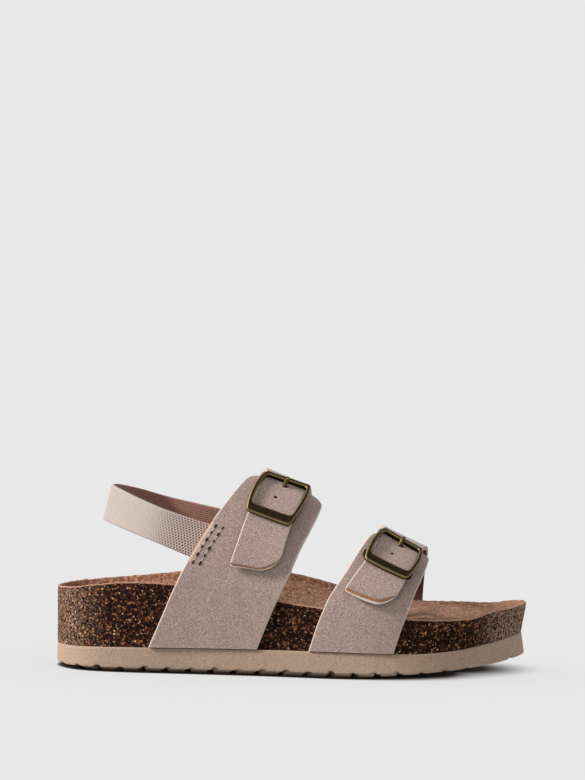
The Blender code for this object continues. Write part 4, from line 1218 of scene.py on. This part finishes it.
def elastic_rails(depth):
    """Lower edge, middle and upper edge of the elastic's face that lies this deep under the straps."""
    rails = []
    for rail, level in enumerate(ELASTIC_LEVELS):
        offset = (rail - 1) * ELASTIC_WIDTH / 2
        outer = [sewn_point(False, level, forward, -depth) for forward in ELASTIC_SEWN]
        inner = [sewn_point(True, level, forward, -depth) for forward in ELASTIC_SEWN]
        free = []
        for turn in ELASTIC_TURNS:
            c, s = math.cos(math.radians(turn)), math.sin(math.radians(turn))
            back = ELASTIC_LEAN_BACK + ELASTIC_LEAN_MORE * (1 - c)
            width = np.array([back, -ELASTIC_LEAN_SIDE * s * abs(s), 1.0])
            width *= (1 + ELASTIC_FLARE * c**4) / np.linalg.norm(width)
            run = elastic_middle(turn + 2) - elastic_middle(turn - 2)
            outward = np.array([-run[1], run[0], 0.0]) / math.hypot(run[0], run[1])
            face = ELASTIC_THICKNESS / 2 + GAP - depth
            free.append(elastic_middle(turn) + width * offset + outward * face)
        rails.append(through(outer + free + inner[::-1], ELASTIC_STATIONS))
    return np.array(rails)


def build_elastic(looks):
    """The heel strap of ribbed elastic, its ends sewn under the instep strap."""
    columns = ELASTIC_RIBS * ELASTIC_RIB_COLUMNS + 1
    u = np.linspace(0, 1, columns)
    weights = np.stack([(2 * u - 1) * (u - 1), 4 * u * (1 - u), u * (2 * u - 1)])
    depths = (GAP + ELASTIC_THICKNESS, GAP)
    inner, outer = (np.einsum("rc,rsk->sck", weights, elastic_rails(depth)) for depth in depths)
    outward = unit(outer - inner)
    ribs = np.abs(np.sin(math.pi * ELASTIC_RIBS * u))
    rounded = 1 - ease(0, ELASTIC_EDGE[0], np.minimum(u, 1 - u))
    lower = (ELASTIC_RIB_HEIGHT * (1 - ribs) + ELASTIC_EDGE[1] * rounded)[None, :, None]
    outer = outer - outward * lower
    inner = inner + outward * lower
    run = run_along(outer[:, columns // 2])
    rows = ELASTIC_STATIONS
    points = np.concatenate([inner.reshape(-1, 3), outer.reshape(-1, 3)])
    faces, numbers, border = sheet(rows, columns)
    faces += band(border, rows * columns + border)
    numbers += [0] * len(border)
    rib = np.tile(u * ELASTIC_RIBS, rows * 2)
    along = np.tile(np.repeat(run, columns), 2)
    ends = np.minimum(run, run[-1] - run)
    pull = np.tile(np.repeat(1 - ease(*ELASTIC_PULL, ends), columns), 2)
    values = {"rib": rib, "run": along, "pull": pull}
    piece = make_piece("heel_elastic_woven", points, faces, looks, numbers, values)
    return dress(piece, "elastic", "heel_elastic")


def build_stitches(looks):
    """Two rows of stitches that hold the elastic: taupe thread between needle holes drawn as near-black
    rods, a painted shade, on both sides.
    """
    shapes, numbers = [], []
    for inner in (False, True):

        def stitch(start, end, radius, number):
            path = []
            for t in np.linspace(0, 1, THREAD_STATIONS):
                level, forward = np.array(start) + (np.array(end) - np.array(start)) * t
                height = STRAP_THICKNESS + (STITCH_BULGE * math.sin(math.pi * t) - STITCH_SINK)
                path.append(sewn_point(inner, level, forward, height))
            shapes.append(tube(path, radius, THREAD_SIDES, rounded=True))
            numbers.extend([number] * len(shapes[-1][1]))

        holes = np.linspace(*STITCH_LEVELS, HOLES_PER_ROW)
        half = (holes[1] - holes[0]) * HOLE_SHARE
        for forward in STITCH_ROWS:
            for hole in holes:
                pulled = abs(math.sin(HOLE_PULL[0] * hole + HOLE_PULL[1] * forward))
                radius = HOLE_RADIUS[0] + (HOLE_RADIUS[1] - HOLE_RADIUS[0]) * pulled
                # painted shade: the needle hole is a near-black rod
                stitch((hole - half, forward), (hole + half, forward), radius, 1)
            for low, high in zip(holes, holes[1:]):
                stitch((low + half, forward), (high - half, forward), THREAD_RADIUS, 0)
        for level in (holes[0], holes[-1]):
            start, end = STITCH_ROWS[0] + THREAD_END, STITCH_ROWS[1] - THREAD_END
            stitch((level, start), (level, end), THREAD_RADIUS, 0)
    points, faces = gather(shapes)
    return dress(make_piece("elastic_stitches", points, faces, looks, numbers), "taupe_suede")


# Stage


def build_floor():
    """A pale floor that meets the pale surroundings without a line and gives no light under the shoe."""
    level = FLOOR_LEVEL - FLOOR_DROP
    lift = outsole_bottom(ALONG) - FLOOR_LEVEL
    shift = SHADE_SHIFT[0] + (SHADE_SHIFT[1] + SHADE_SHIFT[2] * OUTWARD[:, 1]) * lift
    border = SHADE_BORDER[0] + SHADE_BORDER[1] * lift
    loops, glow = [], []
    for inset in FLOOR_INSETS:
        inset = np.minimum(inset, FLOOR_NEAR * REACH)
        loops.append(loop(drawn_in(inset), level)[::FLOOR_STEP])
        glow.append(1 - ease(0.0, 1.0, (inset + shift) / border)[::FLOOR_STEP])
    far = loops[-1] - (SOLE_LENGTH / 2, 0.0, level)
    loops.append(unit(far) * FLOOR_REACH + (0.0, 0.0, level))
    glow.append(np.ones(len(far)))
    points, faces = skin(loops)
    faces.append(tuple(range(len(far))))
    floor = make_piece("floor", points, faces, [floor_look()], values={"glow": np.concatenate(glow)})
    return floor


def build_key(floor):
    """One soft light on the shoe. It leaves out the floor, which stays as pale as the surroundings."""
    light = bpy.data.lights.new("key", "AREA")
    light.shape = "DISK"
    light.size = KEY_SIZE
    light.energy = KEY_POWER
    light.color = KEY_COLOUR
    lamp = bpy.data.objects.new("key", light)
    lamp.location = KEY_PLACE
    lamp.rotation_euler = (Vector(KEY_AIM) - Vector(KEY_PLACE)).to_track_quat("-Z", "Y").to_euler()
    bpy.context.scene.collection.objects.link(lamp)
    group = bpy.data.collections.new("key_left_out")
    group.objects.link(floor)
    lamp.light_linking.receiver_collection = group
    group.collection_objects[0].light_linking.link_state = "EXCLUDE"


def build_stage():
    build_key(build_floor())
    world = bpy.data.worlds.new("studio")
    world.use_nodes = True
    ground = world.node_tree.nodes["Background"]
    ground.inputs["Color"].default_value = (BACKGROUND, BACKGROUND, BACKGROUND, 1.0)
    ground.inputs["Strength"].default_value = 1.0
    bpy.context.scene.world = world
    view = bpy.context.scene.view_settings
    view.view_transform = "Standard"
    view.look = "None"


def build_camera():
    data = bpy.data.cameras.new("camera")
    data.sensor_fit = "VERTICAL"
    data.sensor_height = SENSOR
    data.lens = SENSOR * CAMERA_DISTANCE / (PICTURE_HEIGHT * METRES_PER_PIXEL)
    data.clip_end = FAR_CLIP
    middle = ACROSS_SHIFT * METRE
    height = CAMERA_LEVEL + CAMERA_DISTANCE * math.tan(math.radians(CAMERA_ELEVATION))
    place = Vector((CAMERA_X, middle - CAMERA_DISTANCE, height))
    aim = Vector((CAMERA_X, middle, CAMERA_AIM_HEIGHT))
    camera = bpy.data.objects.new("camera", data)
    camera.location = place
    turn = (aim - place).to_track_quat("-Z", "Y")
    roll = Quaternion((0, 0, 1), math.radians(CAMERA_ROLL))
    camera.rotation_mode = "QUATERNION"
    camera.rotation_quaternion = turn @ roll
    bpy.context.scene.collection.objects.link(camera)
    bpy.context.scene.camera = camera


def build_shoe():
    lining = ((0.3, (0.1, 0.043, 0.03)), (0.7, (0.19, 0.09, 0.062)))
    strap_looks = [
        suede_look(),
        grain_look("strap_lining", (0.7, 3.0, 0.6), lining, 0.9, 0.12),
        edge_look("strap_lining_edge", (0.5, 0.4, 0.32), (0.72, 0.62, 0.52)),
        edge_look("strap_core", (0.24, 0.125, 0.065), (0.42, 0.25, 0.15)),
    ]
    brass = brass_look()
    build_outsole(eva_look())
    build_cork(cork_look())
    build_insole(insole_look())
    instep = (INSTEP_OUTER, INSTEP_INNER, INSTEP_TIP, INSTEP_SKIVE, INSTEP_BUCKLE, True)
    build_strap_pair("instep", *instep, strap_looks, brass)
    toe = (TOE_OUTER, TOE_INNER, TOE_TIP, TOE_SKIVE, TOE_BUCKLE, False)
    build_strap_pair("toe", *toe, strap_looks, brass)
    outside = elastic_look("elastic_outside", *ELASTIC_OUTSIDE, 0.98)
    build_elastic([outside, elastic_look("elastic_inside", *ELASTIC_INSIDE, 0.7)])
    thread = thread_look("taupe_thread", (0.26, 0.19, 0.165), (0.4, 0.31, 0.27))
    # painted shade of the needle holes
    needle_hole = thread_look("needle_holes_painted_shade", (0.008, 0.005, 0.004), (0.03, 0.018, 0.013))
    build_stitches([thread, needle_hole])


build_camera()
build_stage()
build_shoe()
bpy.context.view_layer.update()
